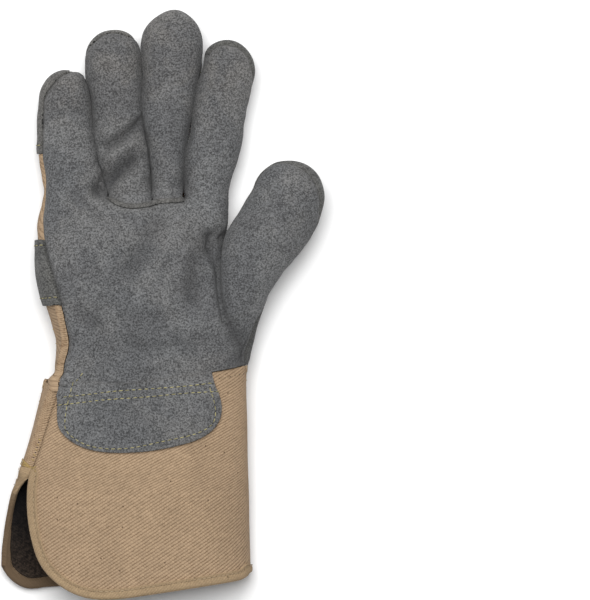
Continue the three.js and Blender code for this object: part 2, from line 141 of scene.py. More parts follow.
LITTLE = rows_of(
    TubeRow,
    (-45, 36, 16, 15, 11), (-46.6, 56, 15.5, 17.4, 11.2), (-49.9, 75, 15, 16.2, 10.9),
    (-51.6, 84, 15, 15.7, 10.8), (-52.5, 98, 15.5, 15.3, 10.6), (-51.2, 110, 16, 14.4, 10.4),
)
RING = rows_of(
    TubeRow,
    (-15.1, 36, 16, 11.9, 11), (-16.7, 57, 15.5, 12.3, 11.4), (-19.1, 70, 15, 13.3, 11.5),
    (-21.3, 81, 15, 14.4, 11.5), (-24.7, 102, 15, 13.8, 11.3), (-25.8, 114, 15.5, 15, 11.1),
    (-26.5, 130.4, 16, 14.4, 10.8),
)
MIDDLE = rows_of(
    TubeRow,
    (3.5, 36, 16, 9.2, 11), (2.9, 76, 15, 9.8, 11.7), (2.8, 88, 15, 11.1, 11.8),
    (2.7, 98, 15, 13.7, 11.8), (4.1, 116, 15.5, 15.1, 11.8), (5.2, 128, 16, 16, 11.6),
    (5.6, 136.6, 16, 15.9, 11.3),
)
INDEX = rows_of(
    TubeRow,
    (21.4, 34, 16, 11.8, 11.2), (22.9, 53, 15.5, 11.3, 11.6), (26, 76, 15, 13.9, 11.8),
    (27.9, 88, 15, 14.8, 11.7), (31.8, 108, 15.5, 14.6, 11.5), (34.9, 125, 16, 15.3, 11.2),
)
THUMB = rows_of(
    TubeRow,
    (36, -25, 19.5, 12.2, 9), (39.4, -6.5, 21.5, 13.4, 12.6), (43.4, 11, 23.5, 15, 14.2),
    (50.8, 29, 24.5, 19.2, 15), (60.2, 41, 23, 20.4, 14), (66, 50.5, 22, 20.4, 13.2),
    (68.3, 57.5, 21.5, 19.4, 12.6),
)
HAND_ROWS = rows_of(
    OvalRow,
    (61, -14, 44, 10, 15, 20), (59.5, -14.2, 47.5, 6.5, 15, 23.5), (54, -15, 49.3, 3.6, 15.5, 27.5),
    (45, -16.7, 50.5, 2.2, 16, 32), (34, -17.1, 50.2, 1.5, 16.5, 36.5), (18, -15.2, 51.4, 1.2, 17, 39.5),
    (2, -11.9, 52.7, 1.2, 17, 40.5), (-9, -7.2, 53, 1.4, 17, 40), (-20, -4.5, 52.4, 2.1, 17, 38.9),
    (-34, -6.4, 51.8, 3.1, 17, 37.6), (-50, -9.4, 48.2, 3.3, 17, 37.4),
)
CUFF_ROWS = rows_of(
    OvalRow,
    (-26, -8, 53.4, 1.2, 17, 35.5), (-40, -8.9, 54, 1.2, 17, 35.7), (-63, -11.4, 57, 1.2, 15, 36.9),
    (-106, -17.8, 64.3, 1.2, 10.5, 39.8), (-128, -20, 67, 1.2, 9.5, 41.6),
    (-166, -20, 68, 1.2, 9.5, 43.4),
)
SEAM_ROWS = rows_of(SeamRow, (2, 15), (20, 14.5), (40, 14), (60, 13), (80, 13), (FAR, 13.5))
FLAP_ROWS = rows_of(
    HeightRow,
    (-FAR, -90, 9.5, 17), (-126, -90, 9.5, 17), (-114, -88, 11.5, 17), (-105, -86, 15.5, 18),
    (-98, -83, 21, 21), (-93, -80, 27, 27), (0, -70, 27, 27),
)
FLAP_REACH = (6.0, 14.0)
THUMB_SEAM = 23.5
THUMB_SEAM_RISE = 5.0
THUMB_SEAM_ALONG = (40, 66)
THUMB_SEAM_ACROSS = (56, 80)

DENTS = rows_of(
    Dent,
    (23, 12, 9, 15, 4.5), (-14, 12, 22, 24, 2.4), (-22, 40, 16, 9, -1), (-42, -6, 11, 18, 1.6),
    (-12, -24, 40, 7, 1.4),
)

PALM_EDGE = (
    (-40, 129), (-50, 126.5), (-55.1, 123), (-63.8, 112.6), (-65.3, 104), (-65.6, 92.2), (-65.3, 80.5),
    (-63.9, 69.4), (-63.5, 59.5), (-64.4, 51), (-65.0, 39.9), (-63.5, 29.4), (-61, 21.9), (-57.5, 9.5),
    (-54.1, 0.6), (-51.7, -9.1), (-50.3, -19.4), (-50.6, -24.9), (-52.7, -31.8), (-53.7, -41), (-54, -FAR),
)
LITTLE_TO_RING = ((-46, FAR), (-43.5, 124), (-38.2, 114), (-37.3, 90), (-33.5, 74.6), (-28.2, 56.3))
RING_TO_MIDDLE = (
    (-12, FAR), (-12, 135), (-10.2, 122), (-11.6, 102), (-7.5, 85), (-6, 70), (-5.2, 54.5),
)
MIDDLE_TO_INDEX = (
    (24.5, FAR), (23.4, 135), (18.8, 118), (15.4, 95), (12.5, 80), (11.9, 67), (11.9, 56),
)
FINGER_BASE = (
    (-28.2, 56.3), (-26.4, 55), (-21.5, 52.9), (-12.9, 51.9), (-5.2, 53.4), (-1.7, 54.7), (4.5, 55.4),
    (11.9, 56),
)
WELT_WIDTH = 1.9
CANVAS_RIGHT = (
    (11.9, 68), (18.9, 61), (45.4, 23), (38.9, -0.5), (30.8, -16), (30.2, -21), (35.6, -34), (36, -FAR),
)
WRAP_TOP = 23.0
JOIN_FRONT = (
    (-FAR, -41.5), (-59, -41.5), (-53.7, -44.5), (-33.5, -44.5), (-6.5, -42.5), (24.1, -37.4),
    (40.8, -34.1), (48, -32.5), (FAR, -32.5),
)
JOIN_BACK = ((-FAR, -41.5), (-62, -41.5), (35.6, -35), (48, -32.5), (FAR, -32.5))
WRIST_TUCK = 7.0
HAND_MIDDLE = -14.0
STRAP_TOP = 34.3
STRAP_BOTTOM = -0.8
STRAP_RIGHT = 38.6
CAP_EDGES = {"little": 81.0, "ring": 109.0, "middle": 121.0}
CUFF_TOP_SIDE = 17.0
SLIT_TOP = -91.0
STRIP = 305.0
EDGE_FRONT = (
    (-FAR, -91), (-71.4, -91.2), (-71.9, -94), (-72.8, -101), (-72.6, -114.8), (-69.3, -131.6),
    (-64.3, -142.6), (-55.5, -151.2), (-45.6, -156.6), (-35.4, -158.8), (-22.4, -158.6), (-3.8, -155.9),
    (24.1, -151.8), (40, -149.6), (44, -148.8), (46.4, -147.3), (48, -145), (FAR, -145),
)
EDGE_BACK = (
    (-82, 0), (-82, -93), (-86, -106), (-89, -120), (-89.5, -134), (-86.9, -144.6), (-80.6, -151.9),
    (-72.6, -155.4), (-60, -153.2), (9.7, -152.6), (40, -149.6), (44, -148.8), (46.4, -147.3),
    (48, -145), (FAR, -145),
)
SIDE_SEAM = (
    (-52.9, 0), (-53.2, -42), (-57.8, -52), (-63.6, -69), (-69.1, -86), (-72.2, -93.7), (-76.5, -104),
    (-77, -FAR),
)
HEM = 5.6
FLAP_HEM = 3.2
THUMB_WRAP = ((57, 12), (52.4, -4.6), (46.6, -18), (40.5, -32.7), (38, -40))
PATCH = (
    (-55.4, -20), (-55.4, -52), (-55.8, -64.5), (-53.2, -69.8), (-47.5, -74.8), (-38.8, -78.6),
    (-27.9, -80.2), (-13.5, -80), (-2.7, -78.8), (8.2, -76.6), (19.1, -73.4), (26.3, -68.9),
    (30.6, -63.1), (31.8, -56.5), (30.6, -49.3), (27.8, -43.5), (25.4, -30), (25.4, -20),
)
PATCH_ROWS = (
    ((-51.1, -50.2), (-35.9, -48.7), (-25.8, -47.2), (-9.9, -46.1), (11.8, -44.6), (25.6, -42.9)),
    ((-55.1, -54.8), (-43.8, -53.5), (-30.1, -51.7), (-8.4, -50.4), (11.8, -48.2), (29.2, -47.3)),
    (
        (-47.5, -44.2), (-48.9, -50), (-50.8, -58), (-51.5, -66.7), (-49.7, -69.9), (-44.6, -73.9),
        (-38.1, -76.8), (-28.6, -78.2), (-17.8, -77.9), (-8.4, -76.2), (3.2, -73.5), (15.4, -71),
        (22.7, -68.1), (27.4, -64.5), (28.8, -59.4), (28.1, -52.9), (25.6, -45.4),
    ),
)
PATCH_ABOVE = 20
PATCH_LAP = 0.8
PATCH_LAP_MORE = 1.8
PATCH_LAP_LEFT = (26, 34)
FRAY_BELOW = 1.8
FRAY_TOP = CUFF_TOP_SIDE + 4
CUFF_INSET = 1.4
LINING_SHADE = (-152, -104)
HEM_SHADE_DOWN = (91, 113)
HEM_SHADE_LEFT = (10, 50)
SLIT_LAP = 2.5
PATCH_TAIL = ((-43.6, -39.2), (-45.8, -41.6), (-47.5, -44.2))
STRAP_ROWS = (STRAP_TOP - 3.1, STRAP_BOTTOM + 4.1)
CAP_ROW_INSET = 4.5
INDEX_ROWS = (2.4, 5.2)
INDEX_ROW_TOP = 13
INDEX_ROW_END = 62
GATHER_ROWS = (-14.0, -21.5)
GATHER_TOP = 22
HEM_ROW = 4.3
JOIN_ROWS = (8.1, 12.1)
JOIN_ROW_FRONT = 4.4
SIDE_BAND = 2.2
BAND_END = -43
BAND_FROM = 12
CATCHES = (-85, -73)
TACKS = (
    ((-77.6, -84.6), (-72.5, -87.0), (-68.4, -89.6)),
    ((-77.0, -86.2), (-72.5, -88.0), (-69.0, -88.4)),
    ((-75.0, -84.4), (-71.0, -87.6), (-69.6, -90.6)),
)


class Slot(Enum):
    """The record's material slots."""

    PALM_LEATHER = "palm_leather"
    TIP_LEATHER = "tip_leather"
    BACK_LEATHER = "back_leather"
    CANVAS = "canvas"
    HEM = "hem_canvas"
    LINING = "dark_lining"


def smooth_min(a: Array, b: Array, blend: float) -> Array:
    """Joins two distances with a fillet.

    Args:
        a: Distances to the first form.
        b: Distances to the second form.
        blend: How far the fillet reaches, in millimetres.

    Returns:
        Distances to the union.
    """
    share = np.maximum(blend - np.abs(a - b), 0) / blend
    return np.minimum(a, b) - share * share * blend / 4


def smooth_max(a: Array, b: Array, blend: float) -> Array:
    """Intersects two distances with a rounded edge; see smooth_min."""
    return -smooth_min(-a, -b, blend)


def least(*values: Array) -> Array:
    """The smallest of several values at each point."""
    return np.minimum.reduce(values)


def smooth_step(value: Array, low: float, high: float) -> Array:
    """Rises softly from 0 at low to 1 at high."""
    share = np.clip((value - low) / (high - low), 0, 1)
    return share * share * (3 - 2 * share)


def bell(away: Array, width: float) -> Array:
    """A soft bump: 1 where away is 0, fading over the width."""
    return np.exp(-((away / width) ** 2))


def unit(vectors: Array) -> Array:
    """The vectors at a length of 1."""
    return vectors / np.maximum(np.linalg.norm(vectors, axis=1, keepdims=True), 1e-9)


class Bump(NamedTuple):
    """A soft ridge or groove along a line, with its height or depth and its width."""

    height: float
    width: float

    def at(self, away: Array) -> Array:
        """Its height or depth at a distance from the line."""
        return self.height * bell(away, self.width)


FLAT = math.inf


class Wave(NamedTuple):
    """A wave in the plan view: its height, and the lengths along X and Y in which it turns by 1 radian."""

    height: float
    along_x: float
    along_y: float
    shift: float

    def at(self, x: Array, y: Array) -> Array:
        """Its height at x and y."""
        return self.height * np.sin(x / self.along_x + y / self.along_y + self.shift)


def rounded(line: Line, passes: int = 2) -> Array:
    """Cuts the corners of an open line, keeping its ends.

    Args:
        line: The corners of the line.
        passes: How often corners are cut.

    Returns:
        The points of the rounder line.
    """
    points = np.array(line, float)
    for _ in range(passes):
        ahead = points[:-1] * 0.75 + points[1:] * 0.25
        behind = points[:-1] * 0.25 + points[1:] * 0.75
        between = np.stack([ahead, behind], axis=1).reshape(-1, points.shape[1])
        points = np.vstack([points[:1], between[1:-1], points[-1:]])
    return points


@dataclass(frozen=True)
class Route:
    """An open line in the plan view, which measures how far points lie from it."""

    points: Array

    @classmethod
    def through(cls, line: Line, passes: int = 2) -> "Route":
        """A route along a line whose corners are rounded."""
        return cls(rounded(line, passes))

    def measure(self, x: Array, y: Array) -> tuple[Array, Array]:
        """Measures points against the line.

        Args:
            x: X of the points.
            y: Y of the points.

        Returns:
            The distance to the line and the side, 1 to its left as it runs and -1 to its right.
        """
        best = np.full(np.shape(x), np.inf)
        side = np.ones(np.shape(x))
        sharpest = np.zeros(np.shape(x))
        for (x0, y0), (x1, y1) in zip(self.points[:-1], self.points[1:]):
            along_x, along_y = x1 - x0, y1 - y0
            length = math.hypot(along_x, along_y)
            share = np.clip(((x - x0) * along_x + (y - y0) * along_y) / length**2, 0, 1)
            away_x = x - x0 - share * along_x
            away_y = y - y0 - share * along_y
            distance = np.hypot(away_x, away_y)
            cross = (along_x * away_y - along_y * away_x) / length
            nearer = distance < best - 1e-7
            tied = (np.abs(distance - best) <= 1e-7) & (np.abs(cross) > sharpest)
            chosen = nearer | tied
            best = np.where(nearer, distance, best)
            side = np.where(chosen, np.where(cross >= 0, 1.0, -1.0), side)
            sharpest = np.where(chosen, np.abs(cross), sharpest)
        return best, side

    def distance(self, x: Array, y: Array) -> Array:
        """The distance of points to the line."""
        return self.measure(x, y)[0]

    def left(self, x: Array, y: Array) -> Array:
        """The signed distance of points to the line, positive to its left as it runs."""
        distance, side = self.measure(x, y)
        return distance * side


@dataclass(frozen=True)
class Rows:
    """A table of sections along Y, whose columns are read at any place with soft bends between the rows."""

    rows: Sequence[NamedTuple]
    blur: float = 3.0

    def read(self, column: str, at: Array) -> Array:
        """Reads a column.

        Args:
            column: The column's name.
            at: Places along Y.

        Returns:
            The column's values there.
        """
        rows = sorted(self.rows, key=lambda row: row.y)
        places = [row.y for row in rows]
        values = [getattr(row, column) for row in rows]
        total = 0.0
        weights = 0.0
        for step in np.linspace(-2, 2, 9):
            weight = math.exp(-step * step / 2)
            total = total + weight * np.interp(at + step * self.blur, places, values)
            weights += weight
        return total / weights


def flap_height(x: Array, y: Array) -> Array:
    """The height at which the slit's flap ends, by its level near the left edge and further right.

    Args:
        x: X of the points.
        y: Y of the points.

    Returns:
        The height at each point.
    """
    table = Rows(FLAP_ROWS, blur=1.5)
    share = smooth_step(x - table.read("left", y), *FLAP_REACH)
    return table.read("at_left", y) * (1 - share) + table.read("elsewhere", y) * share


@dataclass
class Skin:
    """A triangle mesh in glove millimetres, with named values at its points."""

    points: Array
    triangles: Array
    values: dict[str, Array] = field(default_factory=dict)

    def normals(self) -> Array:
        """Unit normals at the points, weighted by the triangles' areas.

        Returns:
            One normal for each point.
        """
        a, b, c = (self.points[self.triangles[:, i]] for i in range(3))
        facing = np.cross(b - a, c - a)
        total = np.zeros_like(self.points)
        for i in range(3):
            np.add.at(total, self.triangles[:, i], facing)
        return unit(total)

    def neighbours_mean(self) -> Array:
        """The middle of each point's neighbours.

        Returns:
            The means, in the order of the points.
        """
        total = np.zeros_like(self.points)
        count = np.zeros(len(self.points))
        for i in range(3):
            start, end = self.triangles[:, i], self.triangles[:, (i + 1) % 3]
            np.add.at(total, start, self.points[end])
            np.add.at(total, end, self.points[start])
            np.add.at(count, start, 1)
            np.add.at(count, end, 1)
        return total / np.maximum(count, 1)[:, None]

    def clipped(self, level: Array) -> "Skin":
        """Cuts the mesh along the line where a level is zero.

        Args:
            level: A value for each point.

        Returns:
            The part where the level is above zero.
        """
        level = np.where(np.abs(level) < SNAP, SNAP, level)
        inside = level[self.triangles] > 0
        count = inside.sum(axis=1)
        whole = self.triangles[count == 3]

        def turned(chosen: Array, odd: Array) -> tuple[Array, Array, Array]:
            """The corners of the chosen triangles, counted from their odd one.

            Args:
                chosen: Which triangles are taken.
                odd: The number of each one's odd corner.

            Returns:
                The odd corners and the two that follow them.
            """
            triangles = self.triangles[chosen]
            rows = np.arange(len(triangles))
            return tuple(triangles[rows, (odd + i) % 3] for i in range(3))

        one = count == 1
        near, left, right = turned(one, inside[one].argmax(axis=1))
        two = count == 2
        gone, after, before = turned(two, (~inside[two]).argmax(axis=1))
        ends = np.concatenate(
            [
                np.stack([near, left], 1),
                np.stack([near, right], 1),
                np.stack([after, gone], 1),
                np.stack([before, gone], 1),
            ]
        )
        edges, number = np.unique(np.sort(ends, axis=1), axis=0, return_inverse=True)
        number = number.reshape(-1) + len(self.points)
        n, m = len(near), len(gone)
        near_left, near_right = number[:n], number[n : 2 * n]
        after_gone, before_gone = number[2 * n : 2 * n + m], number[2 * n + m :]
        triangles = np.concatenate(
            [
                whole,
                np.stack([near, near_left, near_right], 1),
                np.stack([after_gone, after, before], 1),
                np.stack([after_gone, before, before_gone], 1),
            ]
        )
        first, last = level[edges[:, 0]], level[edges[:, 1]]
        share = first / (first - last)

        def extended(values: Array) -> Array:
            """Values with those of the new points behind them.

            Args:
                values: Values at the old points.

            Returns:
                Values at the old and the new points.
            """
            part = share[:, None] if values.ndim > 1 else share
            new = values[edges[:, 0]] * (1 - part) + values[edges[:, 1]] * part
            return np.concatenate([values, new])

        points = extended(self.points)
        values = {name: extended(value) for name, value in self.values.items()}
        used = np.unique(triangles)
        renumbered = np.zeros(len(points), int)
        renumbered[used] = np.arange(len(used))
        kept = {name: value[used] for name, value in values.items()}
        return Skin(points[used], renumbered[triangles], kept)

    def rim(self) -> Array:
        """The edges that only one triangle has, each in that triangle's direction.

        Returns:
            Pairs of point numbers.
        """
        edges = np.concatenate([self.triangles[:, [i, (i + 1) % 3]] for i in range(3)])
        key = np.sort(edges, axis=1)
        _, first, count = np.unique(key, axis=0, return_index=True, return_counts=True)
        return edges[first[count == 1]]

    def contour(self, level: Array, kept: Array) -> tuple[Array, Array, Array]:
        """Finds the line on the mesh where a level is zero.

        Args:
            level: A value for each point.
            kept: Whether each point lies where the line is wanted.

        Returns:
            The line's points, the mesh's normals there, and the pairs of points that follow each other.
        """
        level = np.where(np.abs(level) < SNAP, SNAP, level)
        above = level[self.triangles] > 0
        crossed = above.any(axis=1) & ~above.all(axis=1) & kept[self.triangles].all(axis=1)
        triangles = self.triangles[crossed]
        edges = np.stack([triangles, np.roll(triangles, -1, axis=1)], axis=2)
        cut = (level[edges[..., 0]] > 0) != (level[edges[..., 1]] > 0)
        ends, number = np.unique(np.sort(edges[cut], axis=1), axis=0, return_inverse=True)
        first, last = level[ends[:, 0]], level[ends[:, 1]]
        share = (first / (first - last))[:, None]
        normals = self.normals()
        points = self.points[ends[:, 0]] * (1 - share) + self.points[ends[:, 1]] * share
        facing = normals[ends[:, 0]] * (1 - share) + normals[ends[:, 1]] * share
        return points, facing, number.reshape(-1, 2)

    def largest(self) -> "Skin":
        """The mesh without loose scraps, each smaller than its largest part.

        Returns:
            The largest connected part.
        """
        label = np.arange(len(self.points))
        while True:
            before = label.copy()
            lowest = label[self.triangles].min(axis=1)
            for i in range(3):
                np.minimum.at(label, self.triangles[:, i], lowest)
            label = label[label]
            if (label == before).all():
                break
        names, count = np.unique(label[self.triangles[:, 0]], return_counts=True)
        best = names[count.argmax()]
        return self.clipped(np.where(label == best, 1.0, -1.0))

    def cut(self, inside: Array) -> "Skin":
        """The largest part where a distance is above zero. It keeps that distance as a value named edge."""
        skin = Skin(self.points, self.triangles, {**self.values, "edge": inside})
        return skin.clipped(inside).largest()

    def lifted(self, lowest: float) -> "Skin":
        """Moves the mesh along the values named normal by those named lift.

        Args:
            lowest: The height below which no point sinks.

        Returns:
            The moved mesh.
        """
        points = self.points + self.values["normal"] * self.values["lift"][:, None]
        points[:, 2] = np.maximum(points[:, 2], lowest)
        return Skin(points, self.triangles, self.values)

    def shell(self, outer: Array | float, inner: Array | float) -> "Skin":
        """A wall around the mesh.

        Args:
            outer: How far the outer face lies outside the mesh.
            inner: How far the inner face lies inside it, as a negative number.

        Returns:
            The closed wall. Its value named outside is 1 on the outer face and 0 on the inner one.
        """
        normals = self.normals()
        count = len(self.points)
        outside = self.points + normals * np.reshape(np.broadcast_to(outer, count), (-1, 1))
        within = self.points + normals * np.reshape(np.broadcast_to(inner, count), (-1, 1))
        start, end = self.rim().T
        triangles = np.concatenate(
            [
                self.triangles,
                self.triangles[:, ::-1] + count,
                np.stack([end, start, start + count], 1),
                np.stack([end, start + count, end + count], 1),
            ]
        )
        values = {name: np.concatenate([value, value]) for name, value in self.values.items()}
        values["outside"] = np.concatenate([np.ones(count), np.zeros(count)])
        return Skin(np.concatenate([outside, within]), triangles, values)


@dataclass
class Volume:
    """Distances to a form at the points of a grid, negative inside it."""

    low: Array
    values: Array

    @staticmethod
    def axes(low: Sequence[float], high: Sequence[float]) -> tuple[Array, Array, Array]:
        """The grid's places along X, Y and Z, shaped so that they combine.

        Args:
            low: The grid's lowest corner.
            high: Its highest corner.

        Returns:
            Three arrays, each long in its own direction only.
        """
        x, y, z = (np.arange(a, b, CELL) for a, b in zip(low, high))
        return x[:, None, None], y[None, :, None], z[None, None, :]

    def sample(self, points: Array) -> Array:
        """The distance at any points, read between those of the grid.

        Args:
            points: The points.

        Returns:
            The distances.
        """
        place = np.clip((points - self.low) / CELL, 0, np.array(self.values.shape) - 1.001)
        base = place.astype(int)
        part = place - base
        total = np.zeros(len(points))
        for corner in CORNERS:
            weight = np.where(corner, part, 1 - part).prod(axis=1)
            total += weight * self.values[tuple((base + corner).T)]
        return total

    def gradient(self, points: Array) -> Array:
        """The direction in which the distance grows, at any points.

        Args:
            points: The points.

        Returns:
            The directions.
        """
        steps = np.eye(3) * CELL * 0.6
        slopes = [self.sample(points + step) - self.sample(points - step) for step in steps]
        return np.stack(slopes, axis=1) / (1.2 * CELL)

    def surface(self) -> Skin:
        """The form's surface, with one point in each cell that it passes through.

        Returns:
            The surface as a mesh.
        """
        inside = self.values < 0
        shape = np.array(inside.shape) - 1
        count = np.zeros(shape, np.int8)
        for corner in CORNERS:
            count += inside[tuple(slice(c, c + n) for c, n in zip(corner, shape))]
        mixed = (count > 0) & (count < 8)
        cells = np.argwhere(mixed)
        number = np.full(shape, -1)
        number[mixed] = np.arange(len(cells))
        place = np.zeros((len(cells), 3))
        weight = np.zeros(len(cells))
        triangles = []
        for axis in range(3):
            step = np.eye(3, dtype=int)[axis]
            side, up = np.eye(3, dtype=int)[[(axis + 1) % 3, (axis + 2) % 3]]
            for offset in (side * 0, side, up, side + up):
                start = cells + offset
                a = self.values[tuple(start.T)]
                b = self.values[tuple((start + step).T)]
                crosses = (a < 0) != (b < 0)
                share = a[crosses] / (a[crosses] - b[crosses])
                place[crosses] += start[crosses] + share[:, None] * step
                weight[crosses] += 1
            head = inside[tuple(slice(0, n) for n in inside.shape - step)]
            tail = inside[tuple(slice(s, None) for s in step)]
            at = np.argwhere(head != tail)
            at = at[((at - side - up >= 0) & (at < shape)).all(axis=1)]
            corners = [number[tuple((at - back).T)] for back in (side * 0, side, side + up, up)]
            leaving = head[tuple(at.T)]
            a, b, c, d = (np.where(leaving, corners[i], corners[3 - i]) for i in range(4))
            triangles += [np.stack([a, b, c], 1), np.stack([a, c, d], 1)]
        points = self.low + place / weight[:, None] * CELL
        skin = Skin(points, np.concatenate(triangles))
        for _ in range(4):
            skin.points = self.settled(skin.points * 0.5 + skin.neighbours_mean() * 0.5)
        return skin

    def settled(self, points: Array) -> Array:
        """Points moved onto the surface along the steepest way.

        Args:
            points: The points.

        Returns:
            The moved points.
        """
        slope = self.gradient(points)
        steep = np.maximum((slope * slope).sum(axis=1, keepdims=True), 0.2)
        return points - slope / steep * np.clip(self.sample(points), -1, 1)[:, None]


@dataclass(frozen=True)
class Tube:
    """A finger or thumb: an oval tube along a bent centreline, with a round tip."""

    rows: Sequence[TubeRow]
    tip: float
    power: float = 2.0
    step: float = 0.5
    overrun: float = 20.0
    bend: float = 4.0

    def distances(self, x: Array, y: Array, z: Array) -> Array:
        """Distances from the tube's surface, negative inside.

        Args:
            x: X of the grid's points, long in the first direction.
            y: Y of the grid's points, long in the second direction.
            z: Z of the grid's points, long in the third direction.

        Returns:
            The distances on the grid.
        """
        corners = np.array([(row.x, row.y) for row in self.rows], float)
        lengths = np.concatenate([[0], np.cumsum(np.linalg.norm(np.diff(corners, axis=0), axis=1))])
        along = np.arange(0, lengths[-1] + self.step / 2, self.step)

        def column(name: str) -> Array:
            """A column's values at each step along the tube, with soft bends.

            Args:
                name: The column's name.

            Returns:
                Its values.
            """
            values = [getattr(row, name) for row in self.rows]
            first = (values[1] - values[0]) / lengths[1]
            final = (values[-1] - values[-2]) / (lengths[-1] - lengths[-2])
            before, after = values[0] - self.overrun * first, values[-1] + self.overrun * final
            places = [-self.overrun, *lengths, lengths[-1] + self.overrun]
            reach = np.arange(-2.5 * self.bend, 2.5 * self.bend + self.step, self.step)
            weights = np.exp(-((reach / self.bend) ** 2) / 2)
            table = np.interp(along[:, None] + reach, places, [before, *values, after])
            return (table * weights).sum(axis=1) / weights.sum()

        centre = np.stack([column("x"), column("y")], 1)
        heading = unit(np.gradient(centre, axis=0))
        plan_x, plan_y = np.broadcast_arrays(x[:, :, 0], y[:, :, 0])
        plan = np.stack([plan_x.ravel(), plan_y.ravel()], 1)
        nearest = np.linalg.norm(plan[:, None, :] - centre[None], axis=2).argmin(axis=1)
        away = plan - centre[nearest]
        over = (away * heading[nearest]).sum(axis=1)
        aside = away[:, 0] * heading[nearest, 1] - away[:, 1] * heading[nearest, 0]
        last = len(centre) - 1
        over = np.where(nearest == 0, -over, np.where(nearest == last, over, 0))
        shape = (*plan_x.shape, 1)
        width = column("half_width")[nearest].reshape(shape)
        depth = column("half_depth")[nearest].reshape(shape)
        height = z - column("z")[nearest].reshape(shape)
        sideways = np.abs(aside).reshape(shape)
        beyond = np.maximum(over, 0).reshape(shape)
        power = self.power
        a, b, c = sideways / width, np.abs(height) / depth, beyond / self.tip
        size = np.maximum((a**power + b**power + c**power) ** (1 / power), 0.05)
        steep = [(q / size) ** (power - 1) / reach for q, reach in ((a, width), (b, depth), (c, self.tip))]
        slope = np.sqrt(sum(s * s for s in steep))
        return (size - 1) / np.maximum(slope, 1 / (2 * depth))


def oval_distances(table: Rows, roundness: float, relief: Callable, x: Array, y: Array, z: Array) -> Array:
    """Distances from a flattened oval that runs along Y.

    Args:
        table: The oval's sections.
        roundness: 2 for an ellipse, and more for a squarer section.
        relief: Gives how far the top and the underside are pressed in at x and y.
        x: X of the grid's points.
        y: Y of the grid's points.
        z: Z of the grid's points.

    Returns:
        The distances on the grid, negative inside.
    """
    side = table.read("side", y)
    pressed_top, pressed_bottom = relief(x, y)
    above = z >= side
    upper = table.read("top", y) - side - pressed_top
    lower = side - table.read("bottom", y) - pressed_bottom
    depth = np.where(above, upper, lower)
    width = table.read("half_width", y)
    a = np.abs(x - table.read("x", y)) / width
    b = np.abs(z - side) / depth
    size = np.maximum((a**roundness + b**roundness) ** (1 / roundness), 0.05)
    steep_x = (a / size) ** (roundness - 1) / width
    steep_z = (b / size) ** (roundness - 1) / depth
    return (size - 1) / np.maximum(np.hypot(steep_x, steep_z), 0.02)


SHAPE_SEED = 7
CREASES = (
    Crease(((-12.5, 97), (-17.3, 92.1), (-24.8, 87.7), (-30, 84.5)), 3.2, 2.6, 1.1),
    Crease(((-34, 61), (-30.8, 64.5), (-20.5, 73.2), (-15, 77)), 4.0, 3.6, 1.6),
    Crease(((11.3, 58), (14.8, 52.7), (18.1, 46), (25.8, 41.6)), -1.2, 2.4, -0.5),
    Crease(
        ((27.4, 36), (27.2, 31.6), (28, 25), (30.8, 19.7), (33.5, 8.4), (34.6, -1.4), (35.1, -8.9)),
        3.4, 2.5, 0.3,
    ),
    Crease(((33, 35.5), (28.2, 33.5), (26.6, 29)), 2.6, 2.6, 0.2),
    Crease(((24, 36), (20, 24), (16.8, 4.6)), 2.2, 5.0, 0.6),
    Crease(((-2.2, 45), (-8, 33), (-16.7, 19.7)), 2.0, 5.0, 0.9),
    Crease(((-44, -4), (-41.6, -6.8), (-34, -12.2)), 1.5, 4.2, 0.5),
    Crease(((-13, -23), (5, -24), (22.7, -20.8)), 1.1, 4.2, 0.5),
    Crease(((-30, -1), (-14, -8), (0, -10)), 0.8, 5.0, 0.4),
    Crease(((-50, 60), (-38, 48), (-30, 44)), 0.7, 4.5, 0.4),
)


@dataclass(frozen=True)
class Lumps:
    """Soft unevenness of leather and cloth, as a sum of waves that run in random directions."""

    seed: int
    shortest: float
    longest: float
    height: float
    count: int = 14

    def at(self, points: Array) -> Array:
        """How far the surface rises at the given points, in millimetres.

        Args:
            points: The points.

        Returns:
            The rises.
        """
        random = np.random.default_rng(self.seed)
        total = np.zeros(len(points))
        for _ in range(self.count):
            heading = random.normal(size=3)
            heading /= np.linalg.norm(heading)
            length = random.uniform(self.shortest, self.longest)
            total += np.sin(points @ heading * 2 * math.pi / length + random.uniform(0, 2 * math.pi))
        return total * self.height / math.sqrt(self.count)


